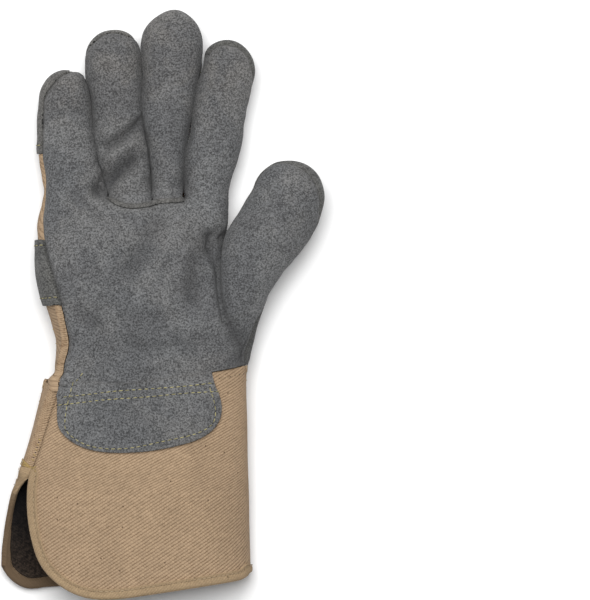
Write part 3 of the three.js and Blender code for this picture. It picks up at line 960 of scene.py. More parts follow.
@dataclass
class Seams:
    """The lines that part the hand's pieces. Each method gives a distance that is positive inside a piece."""

    palm_edge: Route = Route.through(PALM_EDGE)
    little_ring: Route = Route.through(LITTLE_TO_RING)
    ring_middle: Route = Route.through(RING_TO_MIDDLE)
    middle_index: Route = Route.through(MIDDLE_TO_INDEX)
    finger_base: Route = Route.through(FINGER_BASE)
    back_line: Route = Route.through(MIDDLE_TO_INDEX[:-2] + CANVAS_RIGHT)
    join_front: Route = Route.through(JOIN_FRONT)
    join_back: Route = Route.through(JOIN_BACK)
    index_tip_rise: float = 8.0
    index_rise_along: Span = (108, 130)
    ring_tip_rise: float = 5.5
    ring_rise_along: Span = (128, 144)
    welt_above: float = 18.0
    strap_lap: float = 0.5

    def front(self, p: Array) -> Array:
        """Distance into the palm's side from the seam with the back.

        Args:
            p: The points.

        Returns:
            The distances.
        """
        x, y, z = p.T
        height = Rows(SEAM_ROWS, blur=1.5).read("height", y)
        on_index = smooth_step(self.middle_index.left(x, y), 0, 3)
        height = height + self.index_tip_rise * smooth_step(y, *self.index_rise_along) * on_index
        on_ring = smooth_step(-x, 14, 20)
        height = height + self.ring_tip_rise * smooth_step(y, *self.ring_rise_along) * on_ring
        left = np.where(self.little_ring.left(x, y) < 0, self.palm_edge.left(x, y), FAR)
        return np.minimum(z - height, left)

    def sector(self, name: str, p: Array) -> Array:
        """Distance into the strip of one finger, which the lines to its neighbours bound.

        Args:
            name: The finger: little, ring or middle.
            p: The points.

        Returns:
            The distances.
        """
        x, y, _ = p.T
        if name == "little":
            return -self.little_ring.left(x, y)
        if name == "ring":
            return np.minimum(self.little_ring.left(x, y), -self.ring_middle.left(x, y))
        return np.minimum(self.ring_middle.left(x, y), -self.middle_index.left(x, y))

    def beyond_base(self, p: Array) -> Array:
        """Distance beyond the line at the base of the two middle fingers."""
        return self.finger_base.left(p[:, 0], p[:, 1])

    def welt_room(self, p: Array) -> Array:
        """Distance outside the strip that the welt takes."""
        return self.finger_base.distance(p[:, 0], p[:, 1]) - WELT_WIDTH / 2 - GAP

    def east(self, p: Array) -> Array:
        """Distance east of the canvas back's right edge."""
        return self.back_line.left(p[:, 0], p[:, 1])

    def slots(self) -> tuple[Route, Route, Route]:
        """The lines between neighbouring fingers."""
        return self.little_ring, self.ring_middle, self.middle_index

    def above_join(self, p: Array) -> Array:
        """Distance above the palm's lower edge."""
        return self.join_front.left(p[:, 0], p[:, 1])

    def palm(self, p: Array) -> Array:
        """Distance into the palm's leather.

        Args:
            p: The points.

        Returns:
            The distances.
        """
        wrap = np.minimum(self.east(p), WRAP_TOP - p[:, 1])
        leather = np.maximum(self.front(p) - GAP / 2, wrap)
        sectors = np.maximum(self.sector("ring", p), self.sector("middle", p))
        fingers = np.minimum(sectors, self.beyond_base(p))
        welt = np.where(p[:, 2] > 15, self.welt_room(p), FAR)
        return least(leather, -fingers, welt, self.above_join(p))

    def finger_front(self, name: str, p: Array) -> Array:
        """Distance into the front of the ring or middle finger."""
        front = self.front(p) - GAP / 2
        return least(front, self.sector(name, p), self.beyond_base(p), self.welt_room(p))

    def welt(self, p: Array) -> Array:
        """Distance into the welt.

        Args:
            p: The points.

        Returns:
            The distances.
        """
        sectors = np.maximum(self.sector("ring", p), self.sector("middle", p))
        strip = WELT_WIDTH / 2 - self.finger_base.distance(p[:, 0], p[:, 1])
        return least(strip, p[:, 2] - self.welt_above, sectors + 1.0)

    def back(self, p: Array) -> Array:
        """Distance into the back from the seam with the palm's side."""
        return -self.front(p) - GAP / 2

    def index_back(self, p: Array) -> Array:
        """Distance into the leather on the index finger's back."""
        return least(self.back(p), self.east(p), p[:, 1] - WRAP_TOP - GAP)

    def fingertip(self, name: str, p: Array, grow: float = 0.0) -> Array:
        """Distance into the leather on a fingertip's back, moved down the finger by grow."""
        return np.minimum(self.sector(name, p), p[:, 1] - CAP_EDGES[name] + grow)

    def canvas(self, p: Array) -> Array:
        """Distance into the canvas back.

        Args:
            p: The points.

        Returns:
            The distances.
        """
        tips = np.maximum.reduce([self.fingertip(name, p, GAP) for name in CAP_EDGES])
        tucked = self.join_back.left(p[:, 0], p[:, 1]) + WRIST_TUCK
        return least(self.back(p), -self.east(p) - GAP, -tips, tucked)

    def strap(self, p: Array) -> Array:
        """Distance into the knuckle strap.

        Args:
            p: The points.

        Returns:
            The distances.
        """
        x, y, _ = p.T
        lapped = self.back(p) + GAP + self.strap_lap
        return least(lapped, STRAP_TOP - y, y - STRAP_BOTTOM, STRAP_RIGHT - x)


HAND_BOX = ((-78.0, -52.0, -1.5), (58.0, 164.0, 45.0))
THUMB_BOX = ((14.0, -42.0, -1.5), (94.0, 84.0, 47.0))
FINGERS = ((LITTLE, 16.2), (RING, 17.2), (MIDDLE, 22.8), (INDEX, 17.4))
THUMB_TIP = 20.0
HAND_END = 62.0
FINGER_MARGIN = 9
FINGER_ROOT = 6
FAR_FROM_FINGERS = 30.0
GATHER_WANDER = (Wave(2.4, 13.0, FLAT, 0.6), Wave(1.5, 5.3, 9, 0))
GATHER_SWELL = Wave(0.25, 7.7, 12, 0)
# Painted shade between the fingers: how far it reaches from each slot, how much wider it grows towards the
# fingers' bases, and where along Y it fades in.
PAINTED_SHADE_REACH = 2.2
PAINTED_SHADE_SPREAD = 1.2
PAINTED_SHADE_WIDER = (-100, -60)
PAINTED_SHADE_FROM = (52, 58)
PRESS_FROM = 50
PRESS_START = 3.0
PRESS_LESS_ON_TOP = 0.8
PRESS_TOP = (17, 21)
PRESS_FADE = 5
WRAP_STEP = (-0.2, 0.7)
WRAP_DOWN = (3, 12)
WRAP_UP = (19, 22)
TUCK_UP = (7, 11)
OFF_FLOOR = (3, 9)
RIPPLES_OFF_FLOOR = (3, 8)
FLARE_OFF_FLOOR = (4, 8)
EDGE_OFF_FLOOR = (2, 4)
FACING_UP = (0.15, 0.5)
UPPER_HALF = (15, 20)
SWELLING_AT = 2.2
DEEPEST_CREASE = 4.5
SEAM_GROOVE = Bump(0.9, 1.5)
JOIN_GROOVE = Bump(1.0, 1.8)
THUMB_JOIN_GROOVE = Bump(0.9, 1.6)
THUMB_SEAM_GROOVE = Bump(0.8, 1.4)
BASE_GROOVE = Bump(0.8, 1.2)
BASE_GROOVE_AT = 2.2
EDGE_GROOVE = Bump(0.5, 1.4)
ROLLED_SEAM = Bump(2.0, 1.6)
RIPPLE_FADE = 6.0
# How dark the painted shade along the thumb's join is.
JOIN_PAINTED_SHADE = 0.9
GATHER_STITCH_WIDTH = 1.6
GATHER_STITCH_DEPTH = 0.8
SIDE_LEFT_OF = -45
FLARE_DOWN = (36.5, 41.5)
FLARE_LEFT = (46, 52)


@dataclass
class HandForm:
    """The hollow forms of hand and thumb, from which the pieces of the upper glove are cut."""

    seams: Seams = field(default_factory=Seams)
    roundness: float = 2.5
    end_round: float = 4.0
    finger_blend: float = 6.0
    slot_round: float = 3.4
    floor_round: float = 3.0
    gather_pitch: float = 8.5
    gather_depth: float = 2.9
    gather_reach: float = 14.0
    layer: float = 1.5
    thumb_tuck: float = 3.6
    flare: float = 3.6
    press_reach: float = 1.7
    press_gap: float = 0.03
    lumps: Lumps = Lumps(SHAPE_SEED, 17, 46, 0.42)
    ripples: Lumps = Lumps(SHAPE_SEED + 1, 6, 12, 0.16)

    def press(self, x: Array, y: Array) -> tuple[Array, Array]:
        """How far the palm and the back are pressed in.

        Args:
            x: X of the grid's points.
            y: Y of the grid's points.

        Returns:
            The depths on top and on the underside.
        """
        top = sum(d.depth * bell(x - d.x, d.reach_x) * bell(y - d.y, d.reach_y) for d in DENTS)
        near = bell(y - sum(GATHER_ROWS) / 2, self.gather_reach)
        wander = sum(wave.at(x, y) for wave in GATHER_WANDER)
        folds = 0.5 + 0.5 * np.sin(2 * math.pi * (x + wander) / self.gather_pitch)
        folds = folds * (1 - GATHER_SWELL.height + GATHER_SWELL.at(x, y))
        rows = sum(bell(y - row, GATHER_STITCH_WIDTH) for row in GATHER_ROWS)
        return top, near * (self.gather_depth * folds + GATHER_STITCH_DEPTH * rows)

    def hand_volume(self) -> Volume:
        """Distances to the hand with its four fingers.

        Returns:
            The hand's volume.
        """
        x, y, z = Volume.axes(*HAND_BOX)
        body = oval_distances(Rows(HAND_ROWS), self.roundness, self.press, x, y, z)
        body = smooth_max(body, np.broadcast_to(y - HAND_END, body.shape), self.end_round)
        fingers = np.full(body.shape, FAR_FROM_FINGERS)
        for rows, tip in FINGERS:
            reach = max(row.half_width for row in rows) + FINGER_MARGIN
            xs, ys = [row.x for row in rows], [row.y for row in rows]
            i0, i1 = np.searchsorted(x[:, 0, 0], [min(xs) - reach, max(xs) + reach])
            j0, j1 = np.searchsorted(y[0, :, 0], [min(ys) - FINGER_ROOT, max(ys) + tip + FINGER_MARGIN])
            tube = Tube(rows, tip).distances(x[i0:i1], y[:, j0:j1], z)
            fingers[i0:i1, j0:j1] = np.minimum(fingers[i0:i1, j0:j1], tube)
        hand = smooth_min(body, fingers, self.finger_blend)
        plan_x, plan_y = np.broadcast_arrays(x[:, :, 0], y[:, :, 0])
        slots = least(*(line.distance(plan_x, plan_y) for line in self.seams.slots()))
        hand = smooth_max(hand, SLOT / 2 - slots[:, :, None], self.slot_round)
        hand = smooth_max(hand, np.broadcast_to(HAND_REST - z, hand.shape), self.floor_round)
        return Volume(np.array(HAND_BOX[0]), hand.astype(np.float32))

    def thumb_volume(self) -> Volume:
        """Distances to the thumb."""
        thumb = Tube(THUMB, THUMB_TIP).distances(*Volume.axes(*THUMB_BOX))
        return Volume(np.array(THUMB_BOX[0]), thumb.astype(np.float32))

    def creased(self, p: Array, facing_up: Array) -> Array:
        """How far folds, seams and unevenness lift the hand's skin at its points.

        Args:
            p: The points.
            facing_up: The upward share of their normals.

        Returns:
            The lift, negative where the skin sinks.
        """
        x, y, z = p.T
        lift = self.lumps.at(p) * smooth_step(z, *OFF_FLOOR)
        top = smooth_step(facing_up, *FACING_UP) * smooth_step(z, *UPPER_HALF)
        for crease in CREASES:
            away = Route.through(crease.line).distance(x, y)
            fold = crease.depth * bell(away, crease.width)
            beside = crease.swelling * bell(away - SWELLING_AT * crease.width, crease.width)
            lift += top * (beside - fold)
        seam = np.abs(self.seams.front(p))
        lift -= SEAM_GROOVE.at(seam)
        lift += self.ripples.at(p) * np.exp(-seam / RIPPLE_FADE) * smooth_step(z, *RIPPLES_OFF_FLOOR)
        roll = self.seams.palm_edge.left(x, y) + SIDE_BAND
        left_of_seam = (x < SIDE_LEFT_OF) * (roll < SIDE_BAND)
        beside = smooth_step(-y, 0, 3) * smooth_step(z, BAND_FROM, 16) * left_of_seam
        lift += ROLLED_SEAM.at(roll) * beside
        flare = self.flare * smooth_step(-y, *FLARE_DOWN) * smooth_step(-x, *FLARE_LEFT)
        lift += flare * smooth_step(z, *FLARE_OFF_FLOOR)
        base = np.where(z > UPPER_HALF[0], self.seams.finger_base.distance(x, y), FAR)
        lift -= BASE_GROOVE.at(base - BASE_GROOVE_AT)
        edge = np.where(z < 12, np.abs(self.seams.east(p)), FAR)
        lift -= EDGE_GROOVE.at(edge) * smooth_step(z, *EDGE_OFF_FLOOR)
        return lift

    def painted_crease_shade(self, p: Array) -> Array:
        """How much painted shade points get between the fingers and in the palm's creases, from 0 to 1, by
        how deep they lie there.

        Args:
            p: The points.

        Returns:
            The shares of painted shade.
        """
        x, y, _ = p.T
        depth = np.zeros(len(p))
        reach = PAINTED_SHADE_REACH + PAINTED_SHADE_SPREAD * smooth_step(-y, *PAINTED_SHADE_WIDER)
        for line in self.seams.slots():
            depth = np.maximum(depth, np.exp(-line.distance(x, y) / reach) * smooth_step(y, *PAINTED_SHADE_FROM))
        for crease in CREASES:
            share = max(crease.depth, 0.0) / DEEPEST_CREASE
            away = Route.through(crease.line).distance(x, y)
            depth = np.maximum(depth, share * bell(away, crease.width))
        return depth

    def wrapped(self, p: Array) -> Array:
        """How far the layer under the thumb's base lies below the leather that ends over it.

        Args:
            p: The points.

        Returns:
            The lift, which is negative there.
        """
        x, y, z = p.T
        behind = smooth_step(Route.through(THUMB_WRAP).left(x, y), *WRAP_STEP) * smooth_step(-y, *WRAP_DOWN)
        return -self.layer * behind * smooth_step(z, *WRAP_UP) * smooth_step(self.seams.above_join(p), 0, 5)

    def closed(self, p: Array) -> Array:
        """Presses the skins of neighbouring fingers together, down to their bases.

        Args:
            p: The points.

        Returns:
            The moved points.
        """
        moved = p.copy()
        near = p[:, 1] > PRESS_FROM
        for line in self.seams.slots():
            x, y = moved[near, 0], moved[near, 1]
            ends = line.points[::-1]
            offset = x - np.interp(y, ends[:, 1], ends[:, 0])
            share = smooth_step(y, ends[0, 1] - PRESS_START, ends[0, 1])
            reach = self.press_reach - PRESS_LESS_ON_TOP * smooth_step(moved[near, 2], *PRESS_TOP)
            pull = reach * np.exp(-np.maximum(np.abs(offset) - reach, 0) / PRESS_FADE) * share
            pull = np.minimum(pull, np.maximum(np.abs(offset) - self.press_gap, 0))
            moved[near, 0] -= np.sign(offset) * pull
        return moved

    def hand_skin(self, hand: Volume, thumb: Volume) -> Skin:
        """The hand's skin, open where the thumb joins it.

        Args:
            hand: The hand's volume.
            thumb: The thumb's volume.

        Returns:
            The skin with its normals, its lifts, and its painted shade in the value named fold.
        """
        skin = hand.surface()
        skin = skin.clipped(thumb_clearance(thumb, skin.points) + 2 * LEATHER)
        p = skin.points
        normal = unit(hand.gradient(p))
        join = thumb_clearance(thumb, p)
        lift = self.creased(p, normal[:, 2]) + self.wrapped(p)
        lift -= JOIN_GROOVE.at(join) * smooth_step(p[:, 2], 12, 20)
        # fold is painted shade: darker between the fingers, in the creases and along the thumb's join.
        fold = np.maximum(self.painted_crease_shade(p), JOIN_PAINTED_SHADE * np.exp(-np.abs(join) / 3.0))
        skin.values = {"normal": normal, "lift": lift, "fold": fold}
        return skin

    def thumb_skin(self, hand: Volume, thumb: Volume) -> Skin:
        """The thumb's skin, down to a little way inside the hand.

        Args:
            hand: The hand's volume.
            thumb: The thumb's volume.

        Returns:
            The skin with its normals, its lifts, and its painted shade in the value named fold.
        """
        skin = thumb.surface()
        under = self.thumb_tuck * smooth_step(skin.points[:, 2], *TUCK_UP)
        skin = skin.clipped(hand.sample(skin.points) - GAP + under)
        skin = skin.clipped(self.seams.above_join(skin.points))
        p = skin.points
        join = hand.sample(p)
        seam = np.abs(p[:, 2] - thumb_seam(p))
        lift = self.lumps.at(p) * 0.8
        lift -= THUMB_JOIN_GROOVE.at(join)
        lift -= THUMB_SEAM_GROOVE.at(seam)
        lift += self.ripples.at(p) * np.exp(-seam / RIPPLE_FADE)
        lift += self.wrapped(p)
        # fold is painted shade along the thumb's join with the hand.
        fold = JOIN_PAINTED_SHADE * np.exp(-np.abs(join) / 2.5) * smooth_step(p[:, 2], 16, 22)
        skin.values = {"normal": unit(thumb.gradient(p)), "lift": lift, "fold": fold}
        return skin

    def piece(self, skin: Skin, inside: Array, close: bool = True) -> Skin:
        """Cuts a piece out of a skin and gives it the skin's folds.

        Args:
            skin: The skin with its normals and lifts.
            inside: Distance into the piece at each point.
            close: Whether the slots between the fingers are pressed shut.

        Returns:
            The piece, with the distance to its edge as a value named edge.
        """
        piece = skin.cut(inside)
        if close:
            piece.points = self.closed(piece.points)
        return piece.lifted(HAND_REST)


def thumb_clearance(thumb: Volume, points: Array) -> Array:
    """The distance to the thumb's surface, and far away outside its grid.

    Args:
        thumb: The thumb's volume.
        points: The points.

    Returns:
        The distances.
    """
    high = thumb.low + (np.array(thumb.values.shape) - 1) * CELL
    known = ((points > thumb.low) & (points < high)).all(axis=1)
    return np.where(known, thumb.sample(points), FAR)


def thumb_seam(points: Array) -> Array:
    """The height of the seam between the thumb's front and back, which rises round its tip.

    Args:
        points: The points.

    Returns:
        The heights.
    """
    x, y, _ = points.T
    rise = smooth_step(y, *THUMB_SEAM_ALONG) * smooth_step(x, *THUMB_SEAM_ACROSS)
    return THUMB_SEAM + THUMB_SEAM_RISE * rise


SEAM_ON_TOP = (12, 17)
SEAM_ABOVE_SLIT = (-96, -90)
CURLED_FROM = (-151, -130)
FLAP_LEFT_OF = -40
RING_POINTS = 1440


@dataclass
class CuffForm:
    """The cuff's form: a strip round the wrist that starts and ends at the side seam and opens below it."""

    start: float = -26.0
    end: float = -164.0
    roundness: float = 2.3
    blend: float = 2.5
    groove: Bump = Bump(0.9, 1.1)
    roll: Bump = Bump(2.2, 2.2)
    roll_inset: float = 3.2
    edge_front: Route = Route.through(EDGE_FRONT)
    edge_back: Route = Route.through(EDGE_BACK)
    join_front: Route = Route.through(JOIN_FRONT)
    join_back: Route = Route.through(JOIN_BACK)
    side_seam: Route = Route.through(SIDE_SEAM)
    lumps: Lumps = Lumps(SHAPE_SEED + 2, 34, 80, 0.5)

    def skin(self, step: float) -> Skin:
        """The cuff's skin with the places along its strip.

        Args:
            step: The distance between its points.

        Returns:
            The skin, with its places around and along the cuff as values named across and down.
        """
        heights = np.arange(self.start, self.end, -step)
        table = Rows(CUFF_ROWS, blur=6.0)
        seam = self.side_seam.points
        angles = np.linspace(0, 2 * math.pi, RING_POINTS + 1)[:-1]
        columns = int(STRIP / step)
        rings = []
        arounds = []
        for y in heights:
            x0, width = table.read("x", y), table.read("half_width", y)
            bottom, side, top = (table.read(name, y) for name in ("bottom", "side", "top"))
            power = 2 / self.roundness
            turned = (np.cos(angles), np.sin(angles))
            across, rise = (np.sign(part) * np.abs(part) ** power for part in turned)
            x = x0 + across * width
            z = side + rise * np.where(rise > 0, top - side, side - bottom)
            z = smooth_max(z, np.full(z.shape, CUFF_REST), self.blend)
            seam_x = np.interp(-y, -seam[:, 1], seam[:, 0])
            first = np.abs(np.where(rise > 0, x - seam_x, FAR)).argmin()
            order = np.r_[first : first - len(x) - 1 : -1]
            ring = np.stack([x[order], np.full(len(order), y), z[order]], 1)
            length = np.concatenate([[0], np.cumsum(np.linalg.norm(np.diff(ring, axis=0), axis=1))])
            around = np.linspace(0, length[-1], columns)
            rings.append(np.stack([np.interp(around, length, ring[:, i]) for i in range(3)], 1))
            arounds.append(around)
        points = np.concatenate(rings)
        rows = np.arange(len(heights) - 1)[:, None] * columns
        a = (rows + np.arange(columns - 1)).ravel()
        quads = np.stack([a, a + columns, a + columns + 1, a + 1], 1)
        triangles = np.concatenate([quads[:, [0, 1, 2]], quads[:, [0, 2, 3]]])
        skin = Skin(points, triangles, {"across": np.concatenate(arounds), "down": points[:, 1].copy()})
        normal = skin.normals()
        if normal[np.argmax(points[:, 2]), 2] < 0:
            skin.triangles = skin.triangles[:, ::-1]
            normal = -normal
        skin.values["normal"] = normal
        return skin

    def edge(self, p: Array) -> Array:
        """Distance inside the cuff's free edge, negative outside it.

        Args:
            p: The points.

        Returns:
            The distances.
        """
        x, y, z = p.T
        front = self.edge_front.left(x, y)
        back = self.edge_back.left(x, y)
        flap = flap_height(x, y) - z
        panel = np.minimum(back, np.where(x > FLAP_LEFT_OF, FAR, flap))
        upper = np.maximum(front, np.where(x < FLAP_LEFT_OF, panel, -FAR))
        return np.where(z > CUFF_TOP_SIDE, upper, panel)

    def hem_width(self, p: Array) -> Array:
        """The width of the turned hem, which is narrower along the flap's curled side."""
        curled = smooth_step(p[:, 1], *CURLED_FROM) * smooth_step(CUFF_TOP_SIDE - p[:, 2], -1, 1)
        return HEM - (HEM - FLAP_HEM) * curled

    def below_join(self, p: Array) -> Array:
        """Distance below the line where the hand's pieces end."""
        x, y, z = p.T
        return -np.where(z > CUFF_TOP_SIDE, self.join_front.left(x, y), self.join_back.left(x, y))

    def waved(self, skin: Skin) -> None:
        """Works out how far the cloth's soft waves and its rolled side seam lift a skin.

        Args:
            skin: The skin, which gets the values named lift.
        """
        p = skin.points
        lift = self.lumps.at(p) * smooth_step(p[:, 2], 3, 12)
        seam = self.side_seam.left(p[:, 0], p[:, 1])
        near = smooth_step(p[:, 2], *SEAM_ON_TOP) * smooth_step(p[:, 1], *SEAM_ABOVE_SLIT)
        lift -= near * self.groove.at(seam)
        lift += near * self.roll.at(seam + self.roll_inset)
        skin.values["lift"] = lift

    def piece(self, skin: Skin, inside: Array) -> Skin:
        """Cuts a piece out of the cuff's skin; see HandForm.piece."""
        return skin.cut(inside).lifted(CUFF_REST)


def linked(name: str, data: bpy.types.ID) -> bpy.types.Object:
    """An object with the given data, in the scene.

    Args:
        name: The object's name.
        data: What the object shows.

    Returns:
        The object.
    """
    thing = bpy.data.objects.new(name, data)
    bpy.context.scene.collection.objects.link(thing)
    return thing


@dataclass
class Frame:
    """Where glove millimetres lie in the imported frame, and what hangs on it."""

    shift: Array
    finishes: dict = field(default_factory=dict)

    @classmethod
    def found(cls) -> "Frame":
        """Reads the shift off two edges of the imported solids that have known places.

        Returns:
            The frame with its shift.
        """
        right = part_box("knuckle_strap")[1].x / MM - STRAP_RIGHT
        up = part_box("middle_fingertip")[0].y / MM - CAP_EDGES["middle"]
        return cls(np.array([right, up, 0.0]))

    def metres(self, points: Array) -> Array:
        """Glove millimetres as metres in the frame."""
        return (points + self.shift) * MM

    def mesh(self, name: str, skin: Skin) -> bpy.types.Object:
        """Makes a smooth mesh object of a skin, with its values as attributes.

        Args:
            name: The object's name.
            skin: The skin, in glove millimetres.

        Returns:
            The object, at the origin.
        """
        data = bpy.data.meshes.new(name)
        count = len(skin.triangles)
        data.vertices.add(len(skin.points))
        data.vertices.foreach_set("co", self.metres(skin.points).astype(np.float32).ravel())
        data.loops.add(3 * count)
        data.loops.foreach_set("vertex_index", skin.triangles.astype(np.int32).ravel())
        data.polygons.add(count)
        data.polygons.foreach_set("loop_start", np.arange(0, 3 * count, 3, dtype=np.int32))
        data.polygons.foreach_set("use_smooth", np.ones(count, bool))
        data.update(calc_edges=True)
        # The value named fold carries painted shade for the materials.
        for key in ("edge", "outside", "fold"):
            if key in skin.values:
                attribute = data.attributes.new(key, "FLOAT", "POINT")
                attribute.data.foreach_set("value", skin.values[key].astype(np.float32))
        if "across" in skin.values:
            layer = data.uv_layers.new(name="cloth")
            uv = np.stack([skin.values["across"], skin.values["down"]], 1) * MM
            layer.data.foreach_set("uv", uv[skin.triangles.ravel()].astype(np.float32).ravel())
        return linked(name, data)

    def add(self, name: str, skin: Skin, slot: Slot) -> None:
        """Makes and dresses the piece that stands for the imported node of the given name."""
        self.dress(self.mesh(f"{name}_piece", skin), slot, name)

    def dress(self, piece: bpy.types.Object, finish: Enum, *nodes: str) -> None:
        """Gives a piece its finish and fastens it to the frame.

        Args:
            piece: The finished object.
            finish: The record's slot that it takes its finish from, or a thread's finish, which has none.
            nodes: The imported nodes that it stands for.
        """
        if not piece.data.materials:
            piece.data.materials.append(self.finishes[finish])
        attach(piece, "root")
        if nodes:
            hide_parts(*nodes)
        log.info("%s: %d faces", piece.name, len(piece.data.polygons))


Socket = bpy.types.NodeSocket
Value = Socket | float | tuple[float, ...]
Colour = tuple[float, float, float, float]


DIM = 0.62


def tone(red: int, green: int, blue: int, light: float = DIM) -> Colour:
    """A linear colour from display values of 0 to 255.

    Args:
        red: The red value.
        green: The green value.
        blue: The blue value.
        light: A factor on the linear colour, because the studio's light is stronger than the photo's.

    Returns:
        The colour with a fourth value of 1.
    """
    shares = (red / 255, green / 255, blue / 255)
    linear = [light * (v / 12.92 if v <= 0.04045 else ((v + 0.055) / 1.055) ** 2.4) for v in shares]
    return (linear[0], linear[1], linear[2], 1.0)


FLECK = tone(70, 52, 38, 1.0)
SHADER = "Principled BSDF"


@dataclass(frozen=True)
class Graph:
    """Adds nodes to a node tree and links them."""

    tree: bpy.types.NodeTree

    def node(self, kind: str, inputs: dict | None = None, **settings: object) -> bpy.types.Node:
        """Adds a node.

        Args:
            kind: The node's type.
            inputs: A value or another node's output for its inputs, by their name or number.
            settings: The node's own settings.

        Returns:
            The node.
        """
        node = self.tree.nodes.new(kind)
        for name, value in settings.items():
            setattr(node, name, value)
        for key, value in (inputs or {}).items():
            if isinstance(value, bpy.types.NodeSocket):
                self.tree.links.new(value, node.inputs[key])
            else:
                node.inputs[key].default_value = value
        return node

    def first(self, kind: str, inputs: dict | None = None, **settings: object) -> Socket:
        """The first output of a new node; see node."""
        return self.node(kind, inputs, **settings).outputs[0]

    def random(self, low: Value, high: Value, seed: Value) -> Socket:
        """A random number for each point of a geometry."""
        inputs = {2: low, 3: high, 8: seed}
        return self.node("FunctionNodeRandomValue", inputs, data_type="FLOAT").outputs[1]

    def math(self, operation: str, *values: Value) -> Socket:
        """The result of a sum or another operation on numbers."""
        return self.first("ShaderNodeMath", dict(enumerate(values)), operation=operation)

    def times(self, a: Value, b: Value) -> Socket:
        """The product of two numbers."""
        return self.math("MULTIPLY", a, b)

    def vector(self, operation: str, *values: Value) -> Socket:
        """The vector that an operation on vectors gives."""
        return self.first("ShaderNodeVectorMath", dict(enumerate(values)), operation=operation)

    def scaled(self, vector: Socket, factor: Value) -> Socket:
        """A vector times a number."""
        return self.first("ShaderNodeVectorMath", {0: vector, 3: factor}, operation="SCALE")

    def joined(self, x: Value, y: Value, z: Value = 0.0) -> Socket:
        """A vector made of three numbers."""
        return self.first("ShaderNodeCombineXYZ", {0: x, 1: y, 2: z})

    def between(self, value: Socket, low: Value, high: Value, start: float = 0.0, end: float = 1.0) -> Socket:
        """Turns a value that runs from low to high softly into one from start to end."""
        inputs = {0: value, 1: low, 2: high, 3: start, 4: end}
        return self.first("ShaderNodeMapRange", inputs, interpolation_type="SMOOTHSTEP")

    def mix(self, share: Value, a: Value, b: Value, blend: str = "MIX") -> Socket:
        """A mix of two colours."""
        inputs = {0: share, 6: a, 7: b}
        return self.node("ShaderNodeMix", inputs, data_type="RGBA", blend_type=blend).outputs[2]

    def shaded(self, base: Value, light: Value) -> Socket:
        """A colour times a number."""
        return self.mix(1.0, base, self.joined(light, light, light), "MULTIPLY")

    def around_one(self, value: Value, swing: float) -> Socket:
        """A value of 0 to 1 as a factor that swings evenly around 1."""
        return self.math("MULTIPLY_ADD", value, swing, 1.0 - swing / 2)

    def off_middle(self, value: Value, reach: Value) -> Socket:
        """A value of 0 to 1, counted from 0.5 and multiplied by a reach."""
        return self.times(self.math("SUBTRACT", value, 0.5), reach)

    def attribute(self, name: str) -> Socket:
        """A mesh's own value."""
        return self.node("ShaderNodeAttribute", attribute_name=name).outputs["Fac"]

    def millimetres(self) -> Socket:
        """The place on the object in millimetres."""
        return self.scaled(self.node("ShaderNodeTexCoord").outputs["Object"], 1 / MM)

    def noise(
        self, place: Socket, scale: Value, detail: float = 2.0, roughness: float = 0.5, bend: float = 0.0
    ) -> Socket:
        """Soft noise.

        Args:
            place: Where it is read.
            scale: How many patches fit into one unit.
            detail: How many finer layers it has.
            roughness: How strong they are.
            bend: How far it is distorted.

        Returns:
            Its value, about 0.5 on average.
        """
        inputs = {"Vector": place, "Scale": scale, "Detail": detail}
        inputs |= {"Roughness": roughness, "Distortion": bend}
        return self.first("ShaderNodeTexNoise", inputs)

    def place(self, name: str, values: dict[str, Value]) -> bpy.types.Node:
        """Places a shared group with its own values.

        Args:
            name: The group's name.
            values: The values for its inputs.

        Returns:
            The group's node.
        """
        node = self.node("ShaderNodeGroup", node_tree=bpy.data.node_groups[name])
        for key, value in values.items():
            node.inputs[key].default_value = value
        return node


def shared(name: str, inputs: dict[str, float], outputs: Sequence[str]) -> tuple[Graph, dict, Callable]:
    """Starts a shader group.

    Args:
        name: Its name.
        inputs: Its inputs with their usual values.
        outputs: Its outputs.

    Returns:
        The graph, the inputs inside the group, and a function that links a value to an output.
    """
    tree = bpy.data.node_groups.new(name, "ShaderNodeTree")
    for key, value in inputs.items():
        socket = tree.interface.new_socket(name=key, in_out="INPUT", socket_type="NodeSocketFloat")
        socket.default_value = value
    for key in outputs:
        tree.interface.new_socket(name=key, in_out="OUTPUT", socket_type="NodeSocketFloat")
    graph = Graph(tree)
    start, end = graph.node("NodeGroupInput"), graph.node("NodeGroupOutput")

    def give(key: str, value: Socket) -> None:
        """Links a value to one of the group's outputs."""
        tree.links.new(value, end.inputs[key])

    return graph, {key: start.outputs[key] for key in inputs}, give


class Effect(Enum):
    """The effects that several finishes share."""

    NAP = "nap"
    CLOUDS = "clouds"
    WORN_EDGE = "worn_edge"
    TWILL = "twill"


def build_effects() -> None:
    """Builds the shared groups. Sizes are in millimetres."""
    build_nap()
    build_clouds()
    build_worn_edge()
    build_twill()


def build_nap() -> None:
    """Short fibres of leather or cloth, in clumps: a speckle for the colour and a height for the relief."""
    fine_share = 0.88
    g, given, give = shared(Effect.NAP.value, {"Grain": 1.1, "Clump": 5.0}, ("Speckle", "Height"))
    place = g.millimetres()
    fine = g.noise(place, g.math("DIVIDE", 1.0, given["Grain"]), 3.0, 0.7)
    clump = g.noise(place, g.math("DIVIDE", 1.0, given["Clump"]), 2.0, 0.5, 0.5)
    raw = g.math("ADD", g.times(fine, fine_share), g.times(clump, 1 - fine_share))
    give("Speckle", g.between(raw, 0.36, 0.64))
    give("Height", raw)


